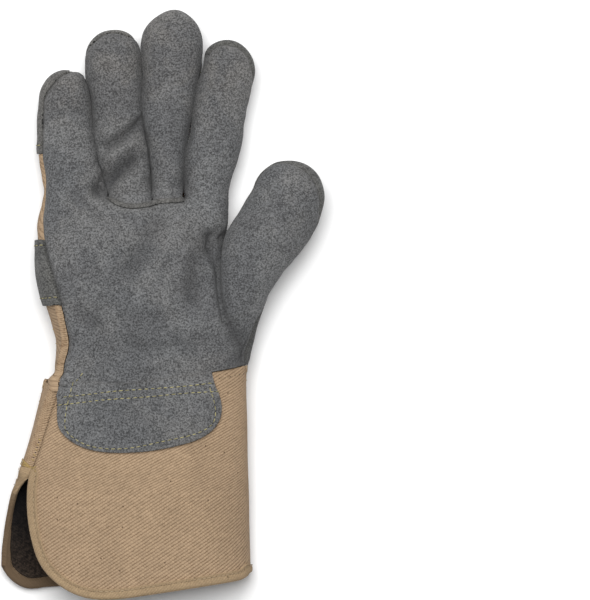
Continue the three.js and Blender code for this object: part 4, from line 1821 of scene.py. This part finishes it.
def build_clouds() -> None:
    """Large soft patches. Shift moves them, so that two finishes differ."""
    g, given, give = shared(Effect.CLOUDS.value, {"Size": 26.0, "Shift": 0.0}, ("Mask",))
    moved = g.vector("ADD", g.millimetres(), g.joined(given["Shift"], given["Shift"], given["Shift"]))
    cloud = g.noise(moved, g.math("DIVIDE", 1.0, given["Size"]), 4.0, 0.6, 0.7)
    give("Mask", g.between(cloud, 0.3, 0.7))


def build_worn_edge() -> None:
    """A band of uneven width along a piece's cut edge."""
    unevenness = 2.4
    g, given, give = shared(Effect.WORN_EDGE.value, {"Width": 2.0}, ("Mask",))
    uneven = g.off_middle(g.noise(g.millimetres(), 0.35, 3.0, 0.6), unevenness)
    give("Mask", g.between(g.math("ADD", g.attribute("edge"), uneven), given["Width"], 0.0))


def build_twill() -> None:
    """Diagonal ribs of cloth, each a chain of short floats, read off the map named cloth."""
    bend_scale, jitter_scale, jitter_size, rib_bend = 0.14, 0.9, 0.45, 4.0
    float_shift, float_low = 0.37, 0.45
    speck_scale, speck_size, specks_left_out = 0.085, 0.05, 0.82
    values = {"Pitch": 1.6, "Slope": 0.58, "Stitch": 1.4, "Wander": 0.35}
    g, given, give = shared(Effect.TWILL.value, values, ("Height", "Groove", "Yarn", "Fleck", "Slub"))
    cloth = g.scaled(g.node("ShaderNodeUVMap", uv_map="cloth").outputs[0], 1 / MM)
    u, v = g.node("ShaderNodeSeparateXYZ", {0: cloth}).outputs[:2]
    cos, sin = g.math("COSINE", given["Slope"]), g.math("SINE", given["Slope"])
    across = g.math("SUBTRACT", g.times(v, cos), g.times(u, sin))
    along = g.math("ADD", g.times(u, cos), g.times(v, sin))
    bend = g.off_middle(g.noise(cloth, bend_scale, 2.0), given["Wander"])
    jitter = g.off_middle(g.noise(cloth, jitter_scale, 2.0), jitter_size)
    bend = g.math("MULTIPLY_ADD", bend, rib_bend, jitter)
    rib = g.math("ADD", g.math("DIVIDE", across, given["Pitch"]), bend)
    number = g.math("FLOOR", rib)
    ridge = g.math("SINE", g.times(g.math("FRACT", rib), math.pi))
    step = g.math("ADD", g.math("DIVIDE", along, given["Stitch"]), g.times(number, float_shift))
    bead = g.math("SINE", g.times(g.math("FRACT", step), math.pi))
    round_bead = g.math("MULTIPLY_ADD", g.math("POWER", bead, 0.6), 1 - float_low, float_low)
    height = g.times(g.math("POWER", ridge, 0.8), round_bead)
    give("Height", height)
    wear = g.between(g.noise(cloth, 0.35, 4.0, 0.7), 0.36, 0.62, 0.5, 1.15)
    give("Groove", g.times(g.between(height, 0.75, 0.1), wear))
    place = g.joined(number, g.math("FLOOR", step))
    give("Yarn", g.node("ShaderNodeTexWhiteNoise", {"Vector": place}, noise_dimensions="2D").outputs[0])
    inputs = {"Vector": cloth, "Scale": speck_scale, "Randomness": 1.0}
    specks = g.node("ShaderNodeTexVoronoi", inputs, voronoi_dimensions="2D")
    chance = g.node("ShaderNodeSeparateXYZ", {0: specks.outputs["Color"]}).outputs[0]
    near = g.between(specks.outputs["Distance"], speck_size, speck_size / 2)
    give("Fleck", g.times(near, g.math("GREATER_THAN", chance, specks_left_out)))
    stretched = g.vector("MULTIPLY", cloth, (0.05, 0.9, 1.0))
    give("Slub", g.between(g.noise(stretched, 1.0, 3.0, 0.6), 0.35, 0.7))


def new_material(name: str, roughness: float, specular: float = 0.3) -> tuple[bpy.types.Material, Graph]:
    """A material with a plain shader, ready for its pattern.

    Args:
        name: Its name.
        roughness: The shader's roughness.
        specular: The shader's specular level.

    Returns:
        The material and its graph.
    """
    material = bpy.data.materials.new(name)
    material.use_nodes = True
    shader = material.node_tree.nodes[SHADER]
    shader.inputs["Roughness"].default_value = roughness
    shader.inputs["Specular IOR Level"].default_value = specular
    return material, Graph(material.node_tree)


def fill(graph: Graph, colour: Socket, roughness: Socket | None, height: Socket, depth: float) -> None:
    """Links a pattern to the shader.

    Args:
        graph: The material's graph.
        colour: The pattern's colour.
        roughness: Its roughness, or None for an even one.
        height: Its relief, from 0 to 1.
        depth: The relief's depth in millimetres.
    """
    shader = graph.tree.nodes[SHADER]
    graph.tree.links.new(colour, shader.inputs["Base Color"])
    if roughness:
        graph.tree.links.new(roughness, shader.inputs["Roughness"])
    bump = graph.node("ShaderNodeBump", {"Strength": 1.0, "Distance": depth * MM, "Height": height})
    graph.tree.links.new(bump.outputs[0], shader.inputs["Normal"])


@dataclass(frozen=True)
class Suede:
    """Split leather with a short nap, cloudy from brushing and paler and warmer where it is worn."""

    name: str
    colour: Colour
    deep: Colour
    warm: Colour
    warmth: float = 0.35
    grain: float = 0.9
    grain_depth: float = 0.45
    cloud: float = 34.0
    smudge: float = 0.28
    shade: float = 0.62
    tips: Span = (0.070, 0.135)
    tip_warmth: float = 0.3
    shift: float = 0.0
    contrast: float = 1.2
    worn: float = 0.18
    sheen: float = 0.08
    # The next two values paint shade: how strongly, and towards which grey, the leather darkens where the
    # mesh's value named fold is high.
    painted_shade: float = 0.8
    dirt_and_painted_shade: Colour = tone(56, 56, 57)

    def build(self) -> bpy.types.Material:
        """Builds the material.

        Returns:
            The material.
        """
        material, g = new_material(self.name, 0.92, 0.18)
        nap = g.place(Effect.NAP.value, {"Grain": self.grain, "Clump": 4.5})
        clouds, smudges, tint = (
            g.place(Effect.CLOUDS.value, {"Size": self.cloud * size, "Shift": self.shift + shift}).outputs[0]
            for size, shift in ((1.0, 0), (0.36, 40), (1.5, 90))
        )
        edge = g.place(Effect.WORN_EDGE.value, {"Width": 2.6}).outputs[0]
        y = g.node("ShaderNodeSeparateXYZ", {0: g.node("ShaderNodeTexCoord").outputs["Object"]}).outputs[1]
        at_tips = g.times(g.between(y, *self.tips), self.tip_warmth)
        warmth = g.math("ADD", g.times(tint, self.warmth), at_tips)
        base = g.mix(g.math("MINIMUM", warmth, 1.0), self.colour, self.warm)
        shade = g.math("ADD", g.times(clouds, 1 - self.smudge), g.times(smudges, self.smudge))
        base = g.mix(g.between(shade, 0.75, 0.25, 0.0, self.shade), base, self.deep)
        base = g.shaded(base, g.around_one(nap.outputs["Speckle"], self.contrast))
        base = g.mix(g.times(edge, self.worn), base, self.warm)
        # Painted shade: the leather darkens between the fingers, in the creases and along the thumb's join.
        base = g.mix(g.times(g.attribute("fold"), self.painted_shade), base, self.dirt_and_painted_shade)
        rough = g.between(nap.outputs["Speckle"], 0.0, 1.0, 0.97, 0.86)
        height = g.math("ADD", nap.outputs["Height"], g.times(smudges, 0.25))
        fill(g, base, rough, height, self.grain_depth)
        shader = g.tree.nodes[SHADER]
        shader.inputs["Sheen Weight"].default_value = self.sheen
        shader.inputs["Sheen Roughness"].default_value = 0.6
        return material


@dataclass(frozen=True)
class Twill:
    """Cotton twill: diagonal ribs of short floats, with slubs and a few dark flecks.

    Where the mesh's value named fold is above 0, the inner side and the turned edge get painted shade: a
    darker colour that stands in for the shade inside the cuff.
    """

    name: str
    colour: Colour
    groove: Colour
    worn_colour: Colour
    pitch: float = 1.62
    slope: float = 0.58
    depth: float = 0.26
    strength: float = 0.78
    worn: float = 0.3
    fleck: float = 0.8
    wander: float = 0.055
    mottle: float = 0.16
    grain: float = 0.7
    # The colour of the painted shade on the inner side, and how strongly it is painted.
    inner: Colour = tone(104, 85, 66)
    painted_shade_share: float = 0.0
    edge_band: Span = (0.6, 2.6)
    float_swing: float = 0.14

    def build(self) -> bpy.types.Material:
        """Builds the material.

        Returns:
            The material.
        """
        material, g = new_material(self.name, 0.9, 0.2)
        values = {"Pitch": self.pitch, "Slope": self.slope, "Stitch": self.pitch * 0.9, "Wander": self.wander}
        twill = g.place(Effect.TWILL.value, values).outputs
        clouds = g.place(Effect.CLOUDS.value, {"Size": 34.0, "Shift": 12.0}).outputs[0]
        nap = g.place(Effect.NAP.value, {"Grain": self.grain, "Clump": 3.0}).outputs
        edge = g.place(Effect.WORN_EDGE.value, {"Width": 2.0}).outputs[0]
        base = g.mix(g.times(twill["Groove"], self.strength), self.colour, self.groove)
        light = g.around_one(twill["Yarn"], self.float_swing)
        light = g.times(light, g.math("MULTIPLY_ADD", clouds, 0.13, 0.94))
        light = g.times(light, g.around_one(nap["Speckle"], self.mottle))
        light = g.times(light, g.math("MULTIPLY_ADD", twill["Slub"], -0.07, 1.02))
        base = g.shaded(base, light)
        base = g.mix(g.times(edge, self.worn), base, self.worn_colour)
        base = g.mix(g.times(twill["Fleck"], self.fleck), base, FLECK)
        # Painted shade: the inner face, and the outer face near the edge, darken where the value named fold
        # is high.
        outer_face = g.times(g.attribute("outside"), g.between(g.attribute("edge"), *self.edge_band))
        within = g.times(g.attribute("fold"), g.math("SUBTRACT", 1.0, outer_face))
        base = g.mix(g.times(within, self.painted_shade_share), base, self.inner)
        height = g.math("ADD", twill["Height"], g.times(nap["Height"], 0.35))
        fill(g, base, g.between(nap["Speckle"], 0.0, 1.0, 0.95, 0.85), height, self.depth)
        return material


@dataclass(frozen=True)
class Yarn:
    """Sewing thread, darker here and there where it is soiled."""

    name: str
    colour: Colour
    soiled: Colour

    def build(self) -> bpy.types.Material:
        """Builds the material.

        Returns:
            The material.
        """
        material, g = new_material(self.name, 0.7, 0.3)
        place = g.millimetres()
        # This noise is soil on the thread; it paints no shade.
        dirt_and_painted_shade = g.noise(place, 0.21, 3.0, 0.6)
        twist = g.noise(place, 4.0, 1.0)
        base = g.mix(g.between(dirt_and_painted_shade, 0.4, 0.66), self.colour, self.soiled)
        fill(g, g.shaded(base, g.around_one(twist, 0.4)), None, twist, 0.08)
        return material


@dataclass(frozen=True)
class Paper:
    """The studio's plain floor."""

    colour: Colour = (0.88, 0.88, 0.88, 1.0)

    def build(self) -> bpy.types.Material:
        """Builds the material.

        Returns:
            The material.
        """
        material, _ = new_material("floor", 1.0, 0.0)
        material.node_tree.nodes[SHADER].inputs["Base Color"].default_value = self.colour
        return material


class Cotton(Enum):
    """The finishes of threads, which have no slot in the record."""

    YELLOW = "yellow_thread"
    PALE = "pale_thread"
    TAN = "tan_thread"
    OCHRE = "ochre_thread"
    HOLE = "needle_hole"


FINISHES = {
    Slot.PALM_LEATHER: Suede("palm_leather", tone(115, 116, 117), tone(92, 93, 95), tone(113, 109, 105)),
    Slot.TIP_LEATHER: Suede(
        "tip_leather", tone(113, 112, 110), tone(92, 91, 89), tone(114, 112, 108), shift=17.0
    ),
    Slot.BACK_LEATHER: Suede(
        "back_leather", tone(100, 100, 99), tone(80, 80, 79), tone(104, 103, 98), shift=31.0
    ),
    Slot.CANVAS: Twill("canvas", tone(190, 163, 133), tone(129, 103, 77), tone(184, 159, 129)),
    # The hem's inner colour is painted shade on the inner side of the slit's flap.
    Slot.HEM: Twill(
        "hem_canvas", tone(182, 157, 124), tone(144, 118, 88), tone(184, 158, 126), strength=0.4,
        pitch=1.3, slope=0.9, depth=0.18, painted_shade_share=0.88,
    ),
    # The lining's inner colour is painted shade: near black deep inside the cuff.
    Slot.LINING: Twill(
        "dark_lining", tone(56, 46, 38), tone(34, 28, 23), tone(66, 55, 45), pitch=1.4, fleck=0.0,
        strength=0.4, mottle=1.3, grain=1.5, inner=tone(7, 8, 11), painted_shade_share=0.95,
    ),
    Cotton.YELLOW: Yarn("yellow_thread", tone(192, 183, 130), tone(150, 143, 104)),
    Cotton.PALE: Yarn("pale_thread", tone(200, 178, 146), tone(170, 145, 114)),
    Cotton.TAN: Yarn("tan_thread", tone(190, 163, 132), tone(158, 130, 100)),
    Cotton.OCHRE: Yarn("ochre_thread", tone(206, 180, 116), tone(170, 140, 88)),
    # The needle holes are dark blobs sunk into the surface: painted shade for the hollow of each hole.
    Cotton.HOLE: Yarn("needle_hole", tone(52, 48, 44), tone(40, 38, 36)),
}


@dataclass(frozen=True)
class Rhythm:
    """How a row of stitches runs, in millimetres and radians."""

    thread: Cotton
    pitch: float = 3.4
    length: float = 2.5
    radius: float = 0.29
    slant: float = 0.0
    lift: float = 0.1
    wander: float = 0.1
    hole: float = 0.3


class Row(Enum):
    """The kinds of stitched rows."""

    LEATHER = "leather_stitches"
    CANVAS = "canvas_stitches"
    JOIN = "cuff_join_stitches"
    GATHER = "gather_stitches"
    HEM = "hem_stitches"
    OVERCAST = "side_seam_overcast"
    CATCH = "side_seam_catch_stitches"
    TACK = "slit_bartack"
    FRAY = "cuff_top_fibres"


RHYTHMS = {
    Row.LEATHER: Rhythm(Cotton.YELLOW, radius=0.27),
    Row.CANVAS: Rhythm(Cotton.PALE, pitch=3.0, length=2.3, radius=0.22, lift=0.05, hole=0.22),
    Row.JOIN: Rhythm(Cotton.OCHRE, pitch=3.0, length=2.3, radius=0.24, lift=0.1, hole=0.22),
    Row.GATHER: Rhythm(Cotton.OCHRE, pitch=2.3, length=1.7, radius=0.25, wander=0.2, hole=0.0),
    Row.HEM: Rhythm(Cotton.PALE, pitch=2.8, length=2.0, radius=0.2, lift=0.0, hole=0.15),
    Row.OVERCAST: Rhythm(
        Cotton.TAN, pitch=1.1, length=4.0, radius=0.46, slant=1.2, lift=-0.22, wander=0.08, hole=0.0
    ),
    Row.TACK: Rhythm(Cotton.OCHRE, pitch=1.2, length=3.4, radius=0.32, lift=0.45, wander=0.4, hole=0.0),
    Row.CATCH: Rhythm(Cotton.OCHRE, pitch=2.6, length=1.9, radius=0.26, slant=1.2, lift=0.45, wander=0.3),
    Row.FRAY: Rhythm(
        Cotton.PALE, pitch=0.45, length=4.4, radius=0.13, slant=1.57, lift=0.3, wander=0.9, hole=0.0
    ),
}


HALF_LENGTH = (0.42, 0.54)


def build_stitcher() -> bpy.types.NodeTree:
    """Builds the tree that lays threads along a line.

    Returns:
        The tree. Its line carries the surface's normals as an attribute named facing.
    """
    tree = bpy.data.node_groups.new("stitcher", "GeometryNodeTree")
    face = tree.interface
    face.new_socket(name="Geometry", in_out="INPUT", socket_type="NodeSocketGeometry")
    for key in ("Pitch", "Length", "Radius", "Slant", "Lift", "Wander", "Phase"):
        face.new_socket(name=key, in_out="INPUT", socket_type="NodeSocketFloat")
    face.new_socket(name="Seed", in_out="INPUT", socket_type="NodeSocketInt")
    face.new_socket(name="Thread", in_out="INPUT", socket_type="NodeSocketMaterial")
    face.new_socket(name="Geometry", in_out="OUTPUT", socket_type="NodeSocketGeometry")
    g = Graph(tree)
    given = g.node("NodeGroupInput").outputs
    curve = g.first("GeometryNodeMeshToCurve", {0: given["Geometry"]})
    half = g.times(given["Pitch"], 0.5)
    even = g.first("GeometryNodeResampleCurve", {"Curve": curve, "Length": half}, mode="LENGTH")
    facing = g.first("GeometryNodeInputNamedAttribute", {"Name": "facing"}, data_type="FLOAT_VECTOR")
    tangent = g.first("GeometryNodeInputTangent")
    side = g.vector("CROSS_PRODUCT", facing, tangent)
    spread = g.times(given["Wander"], -1.0)
    angle = g.math("ADD", given["Slant"], g.random(spread, given["Wander"], given["Seed"]))
    forward, sideways = g.scaled(tangent, g.math("COSINE", angle)), g.scaled(side, g.math("SINE", angle))
    direction = g.vector("ADD", forward, sideways)
    rotation = g.first("FunctionNodeAlignRotationToVector", {"Vector": direction}, axis="X")
    raised = g.first("GeometryNodeSetPosition", {0: even, "Offset": g.scaled(facing, given["Lift"])})
    parity = g.math("MODULO", g.first("GeometryNodeInputIndex"), 2.0)
    chosen = g.math("COMPARE", parity, given["Phase"], 0.5)
    thread = g.first("GeometryNodeMeshUVSphere", {"Segments": 8, "Rings": 6, "Radius": 1.0})
    thread = g.first("GeometryNodeSetShadeSmooth", {0: thread})
    length = g.times(given["Length"], g.random(*HALF_LENGTH, given["Seed"]))
    size = g.joined(length, given["Radius"], given["Radius"])
    inputs = {"Points": raised, "Selection": chosen, "Instance": thread, "Rotation": rotation, "Scale": size}
    laid = g.first("GeometryNodeInstanceOnPoints", inputs)
    real = g.first("GeometryNodeRealizeInstances", {0: laid})
    done = g.first("GeometryNodeSetMaterial", {"Geometry": real, "Material": given["Thread"]})
    g.node("NodeGroupOutput", {0: done})
    return tree


@dataclass
class Sewing:
    """Gathers the lines that are sewn, and lays the threads along them."""

    lines: dict[Row, list[tuple[Array, Array, Array]]] = field(default_factory=dict)
    seed: int = 5
    reach: float = 1.8
    hole_stretch: float = 3.0

    def line(self, row: Row, piece: Skin, level: Array, kept: Array, outer: float = 0.0) -> None:
        """Marks a line on a piece.

        Args:
            row: How it is sewn.
            piece: The piece's skin.
            level: A value at its points, zero along the line.
            kept: Whether each point lies where the line is wanted.
            outer: How far the piece's outer face lies outside the skin.
        """
        points, facing, links = piece.contour(level, kept)
        self.lines.setdefault(row, []).append((points + facing * outer, facing, links))

    def route(self, row: Row, piece: Skin, line: Line, outer: float = 0.0) -> None:
        """Marks a line on the palm's side that is given in the plan view.

        Args:
            row: How it is sewn.
            piece: The piece's skin.
            line: The line's points.
            outer: How far the piece's outer face lies outside the skin.
        """
        x, y, _ = piece.points.T
        route = Route.through(line, 3)
        kept = (route.distance(x, y) < self.reach) & (piece.normals()[:, 2] > 0)
        self.line(row, piece, route.left(x, y), kept, outer)

    def sew(self, place: Frame) -> None:
        """Lays the threads and fastens them to the frame.

        Args:
            place: The frame that they are fastened to.
        """
        tree = build_stitcher()
        holes = []
        for row, lines in self.lines.items():
            rhythm = RHYTHMS[row]
            values = {key: getattr(rhythm, key.lower()) * MM for key in ("Pitch", "Length", "Radius", "Lift")}
            values |= {"Slant": rhythm.slant, "Wander": rhythm.wander, "Phase": 0.0, "Seed": self.seed}
            self.lay(place, tree, row.value, lines, values, rhythm.thread)
            # Needle holes: dark blobs between the stitches, as painted shade for the hollows.
            if rhythm.hole:
                radius = rhythm.hole * MM
                small = {"Length": self.hole_stretch * radius, "Radius": radius, "Lift": 0.0, "Phase": 1.0}
                holes.append((lines, values | small, row.value.replace("stitches", "needle_holes")))
        for lines, values, name in holes:
            self.lay(place, tree, name, lines, values, Cotton.HOLE)

    def lay(
        self, place: Frame, tree: bpy.types.NodeTree, name: str, lines: list, values: dict, thread: Cotton
    ) -> None:
        """Lays one object's threads.

        Args:
            place: The frame that they are fastened to.
            tree: The tree that lays threads.
            name: The object's name.
            lines: The lines, each with its points, normals and links.
            values: The tree's inputs.
            thread: The thread's finish.
        """
        counts = np.cumsum([0] + [len(points) for points, _, _ in lines])
        points = place.metres(np.concatenate([line[0] for line in lines]))
        facing = np.concatenate([line[1] for line in lines])
        links = np.concatenate([line[2] + first for line, first in zip(lines, counts)])
        data = bpy.data.meshes.new(name)
        data.from_pydata(points.tolist(), links.tolist(), [])
        attribute = data.attributes.new("facing", "FLOAT_VECTOR", "POINT")
        attribute.data.foreach_set("vector", facing.astype(np.float32).ravel())
        piece = linked(name, data)
        modifier = piece.modifiers.new("stitches", "NODES")
        modifier.node_group = tree
        sockets = {item.name: item.identifier for item in tree.interface.items_tree if item.in_out == "INPUT"}
        for key, value in values.items():
            modifier[sockets[key]] = value
        modifier[sockets["Thread"]] = place.finishes[thread]
        scene = bpy.context.evaluated_depsgraph_get()
        piece.data = bpy.data.meshes.new_from_object(piece.evaluated_get(scene))
        piece.data.name = name
        piece.modifiers.clear()
        place.dress(piece, thread)


@dataclass
class Studio:
    """A pale floor, soft lights and the camera above the glove."""

    reach: float = 1.2
    view_height: float = 0.324
    view_x: float = 0.0727
    view_y: float = 0.0023
    distance: float = 3.0
    lens_at: float = 0.02
    sensor: float = 36.0
    glow: float = 0.34
    lamp_size: float = 1.1
    lamp_energy: float = 34.0
    lamp_place: tuple[float, float, float] = (-0.06, 0.45, 1.5)

    def build(self) -> None:
        """Builds the floor, the lights and the camera."""
        data = bpy.data.meshes.new("floor")
        r = self.reach
        data.from_pydata([(-r, -r, 0), (r, -r, 0), (r, r, 0), (-r, r, 0)], [], [(0, 1, 2, 3)])
        floor = linked("floor", data)
        floor.data.materials.append(Paper().build())
        scene = bpy.context.scene
        scene.world = bpy.data.worlds.new("studio")
        scene.world.use_nodes = True
        background = scene.world.node_tree.nodes["Background"].inputs
        background["Color"].default_value = (1, 1, 1, 1)
        background["Strength"].default_value = self.glow
        scene.view_settings.view_transform = "Standard"
        light = bpy.data.lights.new("key", "AREA")
        light.size = self.lamp_size
        light.energy = self.lamp_energy
        lamp = linked("key", light)
        lamp.location = self.lamp_place
        lamp.rotation_euler = (-Vector(self.lamp_place)).to_track_quat("-Z", "Y").to_euler()
        data = bpy.data.cameras.new("camera")
        data.sensor_fit = "VERTICAL"
        data.sensor_height = self.sensor
        data.lens = self.sensor * self.distance / self.view_height
        scene.camera = linked("camera", data)
        scene.camera.location = (self.view_x, self.view_y, self.distance + self.lens_at)


@dataclass
class Hand:
    """The upper glove: palm, fingers, thumb, canvas back, fingertips and knuckle strap."""

    form: HandForm = field(default_factory=HandForm)
    map_turn: float = 12.0

    def build(self, place: Frame, sewing: Sewing) -> None:
        """Builds and dresses the pieces.

        Args:
            place: The frame that they are fastened to.
            sewing: Takes the lines that are sewn.
        """
        seams = self.form.seams
        hand, thumb = self.form.hand_volume(), self.form.thumb_volume()
        skin = self.form.hand_skin(hand, thumb)
        p = skin.points

        def add(name: str, inside: Array, outer: float, inner: float, slot: Slot) -> Skin:
            """Cuts, thickens and dresses one piece of the hand.

            Args:
                name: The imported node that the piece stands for.
                inside: Distance into the piece at each point of the skin.
                outer: How far the outer face lies outside the skin.
                inner: How far the inner face does.
                slot: The record's slot for its finish.

            Returns:
                The piece before it was thickened.
            """
            piece = self.form.piece(skin, inside)
            place.add(name, piece.shell(outer, inner), slot)
            return piece

        palm = add("palm", seams.palm(p), 0, -LEATHER, Slot.PALM_LEATHER)
        sewing.route(Row.LEATHER, palm, PATCH_TAIL)
        for name in ("ring", "middle"):
            add(f"{name}_finger_front", seams.finger_front(name, p), 0, -LEATHER, Slot.PALM_LEATHER)
        add("finger_base_welt", seams.welt(p), WELT_PROUD, -LEATHER, Slot.TIP_LEATHER)
        index = add("index_finger_back", seams.index_back(p), 0, -LEATHER, Slot.BACK_LEATHER)
        low = (index.points[:, 2] < INDEX_ROW_TOP) & (index.points[:, 1] < INDEX_ROW_END)
        for inset in INDEX_ROWS:
            sewing.line(Row.LEATHER, index, seams.east(index.points) - inset, low)
        back = seams.back(p)
        for name, edge in CAP_EDGES.items():
            inside = np.minimum(back, seams.fingertip(name, p))
            cap = add(f"{name}_fingertip", inside, CAP_PROUD, -CANVAS, Slot.TIP_LEATHER)
            level = cap.points[:, 1] - edge - CAP_ROW_INSET
            sewing.line(Row.LEATHER, cap, level, level < FAR, CAP_PROUD)
        strap = add("knuckle_strap", seams.strap(p), GAP + LEATHER, GAP, Slot.BACK_LEATHER)
        for y in STRAP_ROWS:
            level = strap.points[:, 1] - y
            sewing.line(Row.LEATHER, strap, level, level < FAR, GAP + LEATHER)
        self.build_canvas(skin, place, sewing)
        skin = self.form.thumb_skin(hand, thumb)
        side = skin.points[:, 2] - thumb_seam(skin.points)
        for name, inside, slot in (
            ("thumb_front", side - GAP / 2, Slot.PALM_LEATHER),
            ("thumb_back", -side - GAP / 2, Slot.BACK_LEATHER),
        ):
            place.add(name, self.form.piece(skin, inside, close=False).shell(0, -LEATHER), slot)

    def build_canvas(self, skin: Skin, place: Frame, sewing: Sewing) -> None:
        """Builds the canvas back, whose cloth runs along the glove.

        Args:
            skin: The hand's skin, which gets the cloth's map.
            place: The frame that the canvas is fastened to.
            sewing: Takes the lines of the gathers and the side seam.
        """
        seams = self.form.seams
        p = skin.points
        side = np.clip((p[:, 0] - HAND_MIDDLE) / self.map_turn, -1, 1)
        skin.values |= {"across": p[:, 1].copy(), "down": p[:, 0] + side * (p[:, 2] - HAND_REST)}
        canvas = self.form.piece(skin, seams.canvas(p))
        place.add("canvas_back", canvas.shell(0, -CANVAS), Slot.CANVAS)
        x, y, z = canvas.points.T
        for row in GATHER_ROWS:
            sewing.line(Row.GATHER, canvas, y - row, z < GATHER_TOP)
        band = (y < STRAP_BOTTOM) & (y > BAND_END) & (x < SIDE_LEFT_OF) & (z > BAND_FROM)
        sewing.line(Row.OVERCAST, canvas, seams.palm_edge.left(x, y) + SIDE_BAND, band)


@dataclass
class Cuff:
    """The gauntlet cuff with its binding, its lining and the heel patch."""

    form: CuffForm = field(default_factory=CuffForm)
    step: float = 1.1
    hem_step: float = 0.7
    hem_half: float = 1.7
    hem_groove: Bump = Bump(0.6, 0.6)
    catch_inset: float = 0.8

    def build(self, place: Frame, sewing: Sewing) -> None:
        """Builds and dresses the pieces.

        Args:
            place: The frame that they are fastened to.
            sewing: Takes the lines that are sewn.
        """
        form = self.form
        skin = form.skin(self.step)
        form.waved(skin)
        p = skin.points
        edge, below = form.edge(p), form.below_join(p)
        cuff = form.piece(skin, np.minimum(edge - CUFF_INSET, below - GAP))
        place.add("cuff", cuff.shell(0, -CANVAS), Slot.CANVAS)
        self.mark_joins(cuff, sewing)
        # Painted shade: the lining darkens to near black deeper inside the cuff.
        skin.values["fold"] = smooth_step(p[:, 1], *LINING_SHADE)
        lining = form.piece(skin, np.minimum(edge - form.hem_width(p) - GAP, below - WRIST_TUCK - 2 * GAP))
        place.add("cuff_lining", lining.shell(-CANVAS - GAP, -CANVAS - GAP - LINING), Slot.LINING)
        # The heel patch gets no painted shade.
        skin.values["fold"] = np.zeros(len(p))
        lapped = below + PATCH_LAP + PATCH_LAP_MORE * smooth_step(-p[:, 0], *PATCH_LAP_LEFT)
        outline = Route.through(PATCH).left(p[:, 0], p[:, 1])
        inside = least(outline, p[:, 2] - PATCH_ABOVE, lapped)
        patch = form.piece(skin, inside)
        for line in PATCH_ROWS:
            sewing.route(Row.LEATHER, patch, line, GAP + LEATHER)
        place.add("heel_patch", patch.shell(GAP + LEATHER, GAP), Slot.PALM_LEATHER)
        self.build_hem(place, sewing)

    def mark_joins(self, cuff: Skin, sewing: Sewing) -> None:
        """Marks the rows that hold the cuff to the hand, and the bartack above its slit.

        Args:
            cuff: The cuff's skin.
            sewing: Takes the lines.
        """
        x, y, z = cuff.points.T
        below = self.form.below_join(cuff.points)
        seam = self.form.side_seam.left(x, y)
        beside = (z > BAND_FROM + 1) & (x < SIDE_LEFT_OF)
        sewing.line(Row.OVERCAST, cuff, seam + self.form.roll_inset, beside & (y > SLIT_TOP + 4))
        sewing.line(Row.CATCH, cuff, seam + self.catch_inset, beside & (y > CATCHES[0]) & (y < CATCHES[1]))
        sewing.line(Row.FRAY, cuff, below - FRAY_BELOW, z < FRAY_TOP)
        for inset in JOIN_ROWS:
            sewing.line(Row.JOIN, cuff, below - inset, z < CUFF_TOP_SIDE - 1)
        sewing.line(Row.CANVAS, cuff, below - JOIN_ROW_FRONT, (z > CUFF_TOP_SIDE + 1) & (x > 29))
        for line in TACKS:
            sewing.route(Row.TACK, cuff, line)

    def build_hem(self, place: Frame, sewing: Sewing) -> None:
        """Builds the turned hem, which is thicker than the cuff and round at its edge.

        Args:
            place: The frame that it is fastened to.
            sewing: Takes its stitched line.
        """
        form = self.form
        skin = form.skin(self.hem_step)
        form.waved(skin)
        p = skin.points
        edge = form.edge(p)
        # Painted shade on the flap's inner face, darker further down and further left.
        flap = smooth_step(-p[:, 0], *HEM_SHADE_LEFT) * (p[:, 2] < CUFF_TOP_SIDE)
        skin.values["fold"] = smooth_step(-p[:, 1], *HEM_SHADE_DOWN) * flap
        below_slit = SLIT_TOP + SLIT_LAP - p[:, 1]
        hem = form.piece(skin, least(edge, form.hem_width(p) - edge, below_slit))
        distance = form.edge(hem.points)
        turn = np.clip(distance / self.hem_half, 0, 1)
        half = self.hem_half * np.sqrt(1 - (1 - turn) ** 2)
        half -= self.hem_groove.at(distance - HEM_ROW)
        sewing.line(Row.HEM, hem, distance - HEM_ROW, distance < FAR, self.hem_half - CANVAS / 2)
        place.add("cuff_binding", hem.shell(half - CANVAS / 2, -half - CANVAS / 2), Slot.HEM)


def main() -> None:
    """Builds the glove and the studio around it."""
    logging.basicConfig(level=logging.INFO, format="%(name)s: %(message)s")
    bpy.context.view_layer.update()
    place = Frame.found()
    build_effects()
    place.finishes = {key: finish.build() for key, finish in FINISHES.items()}
    sewing = Sewing()
    Hand().build(place, sewing)
    Cuff().build(place, sewing)
    sewing.sew(place)
    Studio().build()


if __name__ == "__main__":
    main()
